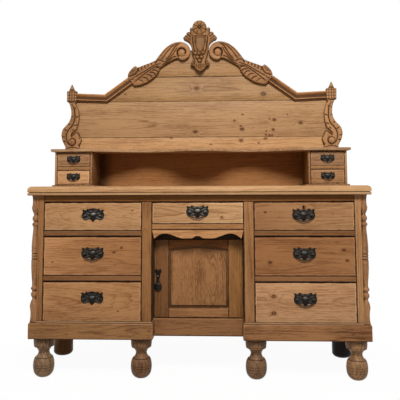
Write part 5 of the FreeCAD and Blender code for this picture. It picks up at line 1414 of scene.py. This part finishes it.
# Side scrolls
# An S-shaped bracket stands at each end of the shelf against the back, carved with a
# split stem that rolls into an eye, a beaded block and a small cut point on top.
bracket_edge = [
    [(708, 1146), (806, 1146)], [(806, 1146), (800, 1172)],
    [(800, 1172), (808, 1187), (818, 1207), (825, 1232), (825, 1255), (818, 1278), (804, 1295),
     (789, 1311), (778, 1329), (771, 1351), (769, 1375), (772, 1400), (778, 1421), (785, 1436)],
    [(785, 1436), (796, 1442)], [(796, 1442), (797, 1503)], [(797, 1503), (784, 1511)],
    [(784, 1511), (777, 1529), (769, 1546)], [(769, 1546), (761, 1529), (753, 1511)],
    [(753, 1511), (737, 1503)], [(737, 1503), (737, 1442)], [(737, 1442), (746, 1430)],
    [(746, 1430), (737, 1414), (730, 1396), (725, 1376), (722, 1353), (724, 1326), (729, 1301),
     (738, 1272)],
    [(738, 1272), (726, 1256), (718, 1240), (707, 1216)], [(707, 1216), (712, 1197), (723, 1178)],
    [(723, 1178), (708, 1146)]]
bracket_cuts = [
    ([(766, 1422), (752, 1402), (748, 1385), (746, 1343), (756, 1304), (780, 1276), (793, 1251),
      (795, 1226), (788, 1198), (773, 1184), (759, 1180), (745, 1189), (740, 1206), (748, 1220),
      (762, 1223)], 2.4, 6.0),
    ([(762, 1230), (764, 1242), (755, 1256), (738, 1271)], 3.0, 7.0),
    ([(759, 1236), (738, 1255), (724, 1248), (716, 1234)], 2.4, 4.5),
    ([(720, 1178), (708, 1195), (703, 1214)], 2.4, 4.0),
    ([(734, 1262), (722, 1240), (714, 1216)], 2.0, 3.5),
    ([(774, 1394), (762, 1395)], 2.4, 5.0), ([(771, 1349), (759, 1351)], 2.4, 5.0),
    ([(785, 1309), (773, 1303)], 2.4, 5.0), ([(806, 1276), (792, 1267)], 2.4, 5.0),
    ([(826, 1234), (806, 1230)], 2.4, 5.0), ([(815, 1204), (800, 1206)], 2.4, 5.0),
    ([(756, 1397), (743, 1403)], 2.4, 5.0), ([(741, 1345), (724, 1354)], 2.4, 5.0),
    ([(748, 1297), (731, 1302)], 2.4, 5.0), ([(762, 1269), (748, 1275)], 2.4, 4.0),
    ([(738, 1442), (767, 1438), (796, 1442)], 2.6, 6.0),
    ([(739, 1507), (768, 1511), (795, 1507)], 2.4, 6.0),
    ([(769, 1420), (757, 1428)], 2.2, 3.0), ([(769, 1541), (770, 1513)], 1.6, -2.0),
    ([(716, 1160), (760, 1170), (802, 1160)], 2.4, 3.5)]
bracket_eye = (0.764, 1.2035)
block_foot, block_top, point_foot = 1.442, 1.506, 1.511
bead_left, bead_width, bead_foot, bead_height = 0.737, 0.01483, 1.452, 0.0175


def bracket_rise(flat, rim):
    """Height and darkness of a side scroll, old polish and painted shade: stem, eye, block of beads in
    columns, and point.
    """
    height = 0.0200 + 0.0045 * crowned(rim, 0.013)
    eye_gap = gap_from(flat, bracket_eye)
    height = np.where(eye_gap < 0.019, 0.014 + 0.009 * dome(eye_gap, 0.0195), height)
    block = (flat[:, 1] > block_foot) & (flat[:, 1] < block_top)
    across = np.abs(np.mod((flat[:, 0] - bead_left) / bead_width, 1.0) - 0.5) * 2
    swell = np.cos((flat[:, 1] - bead_foot) * 2 * math.pi / bead_height)
    beads = 0.0045 * np.sqrt(np.clip(1 - across ** 2, 0.0, 1.0)) * (0.72 + 0.28 * swell)
    height = np.where(block, 0.0190 + beads, height)
    height = np.where(flat[:, 1] > point_foot, 0.016 + 0.007 * crowned(rim, 0.016), height)
    cuts = cut_depth(flat, metres(bracket_cuts))
    hollow = np.clip(cuts / 0.006, 0.0, 0.9)
    nicks = np.clip(-swell - 0.45, 0.0, 1.0) * 1.3
    seams = np.clip(across - 0.50, 0.0, 1.0) * 1.9
    hollow = np.where(block, np.maximum(hollow, np.maximum(seams, nicks)), hollow)
    edge = np.clip(rim / 0.005, 0.0, 1.0)
    height = height - cuts - 0.003 * (1 - edge) ** 2
    hollow = hollow + 0.2 * (1 - np.clip(rim / 0.003, 0.0, 1.0))
    return np.clip(height, 0.007, 0.0258), np.clip(hollow, 0.0, 1.0)


bracket_line = metre_edge(bracket_edge)
wooden("side.scrolls",
       [carved("right bracket", bracket_line, bracket_rise, "z", False, (1.12, 1.13, 1.06)),
        carved("left bracket", bracket_line, bracket_rise, "z", True, (1.06, 1.06, 1.02))],
       [carved_pine], "cabinet", ("side_scrolls",), smooth=45.0)
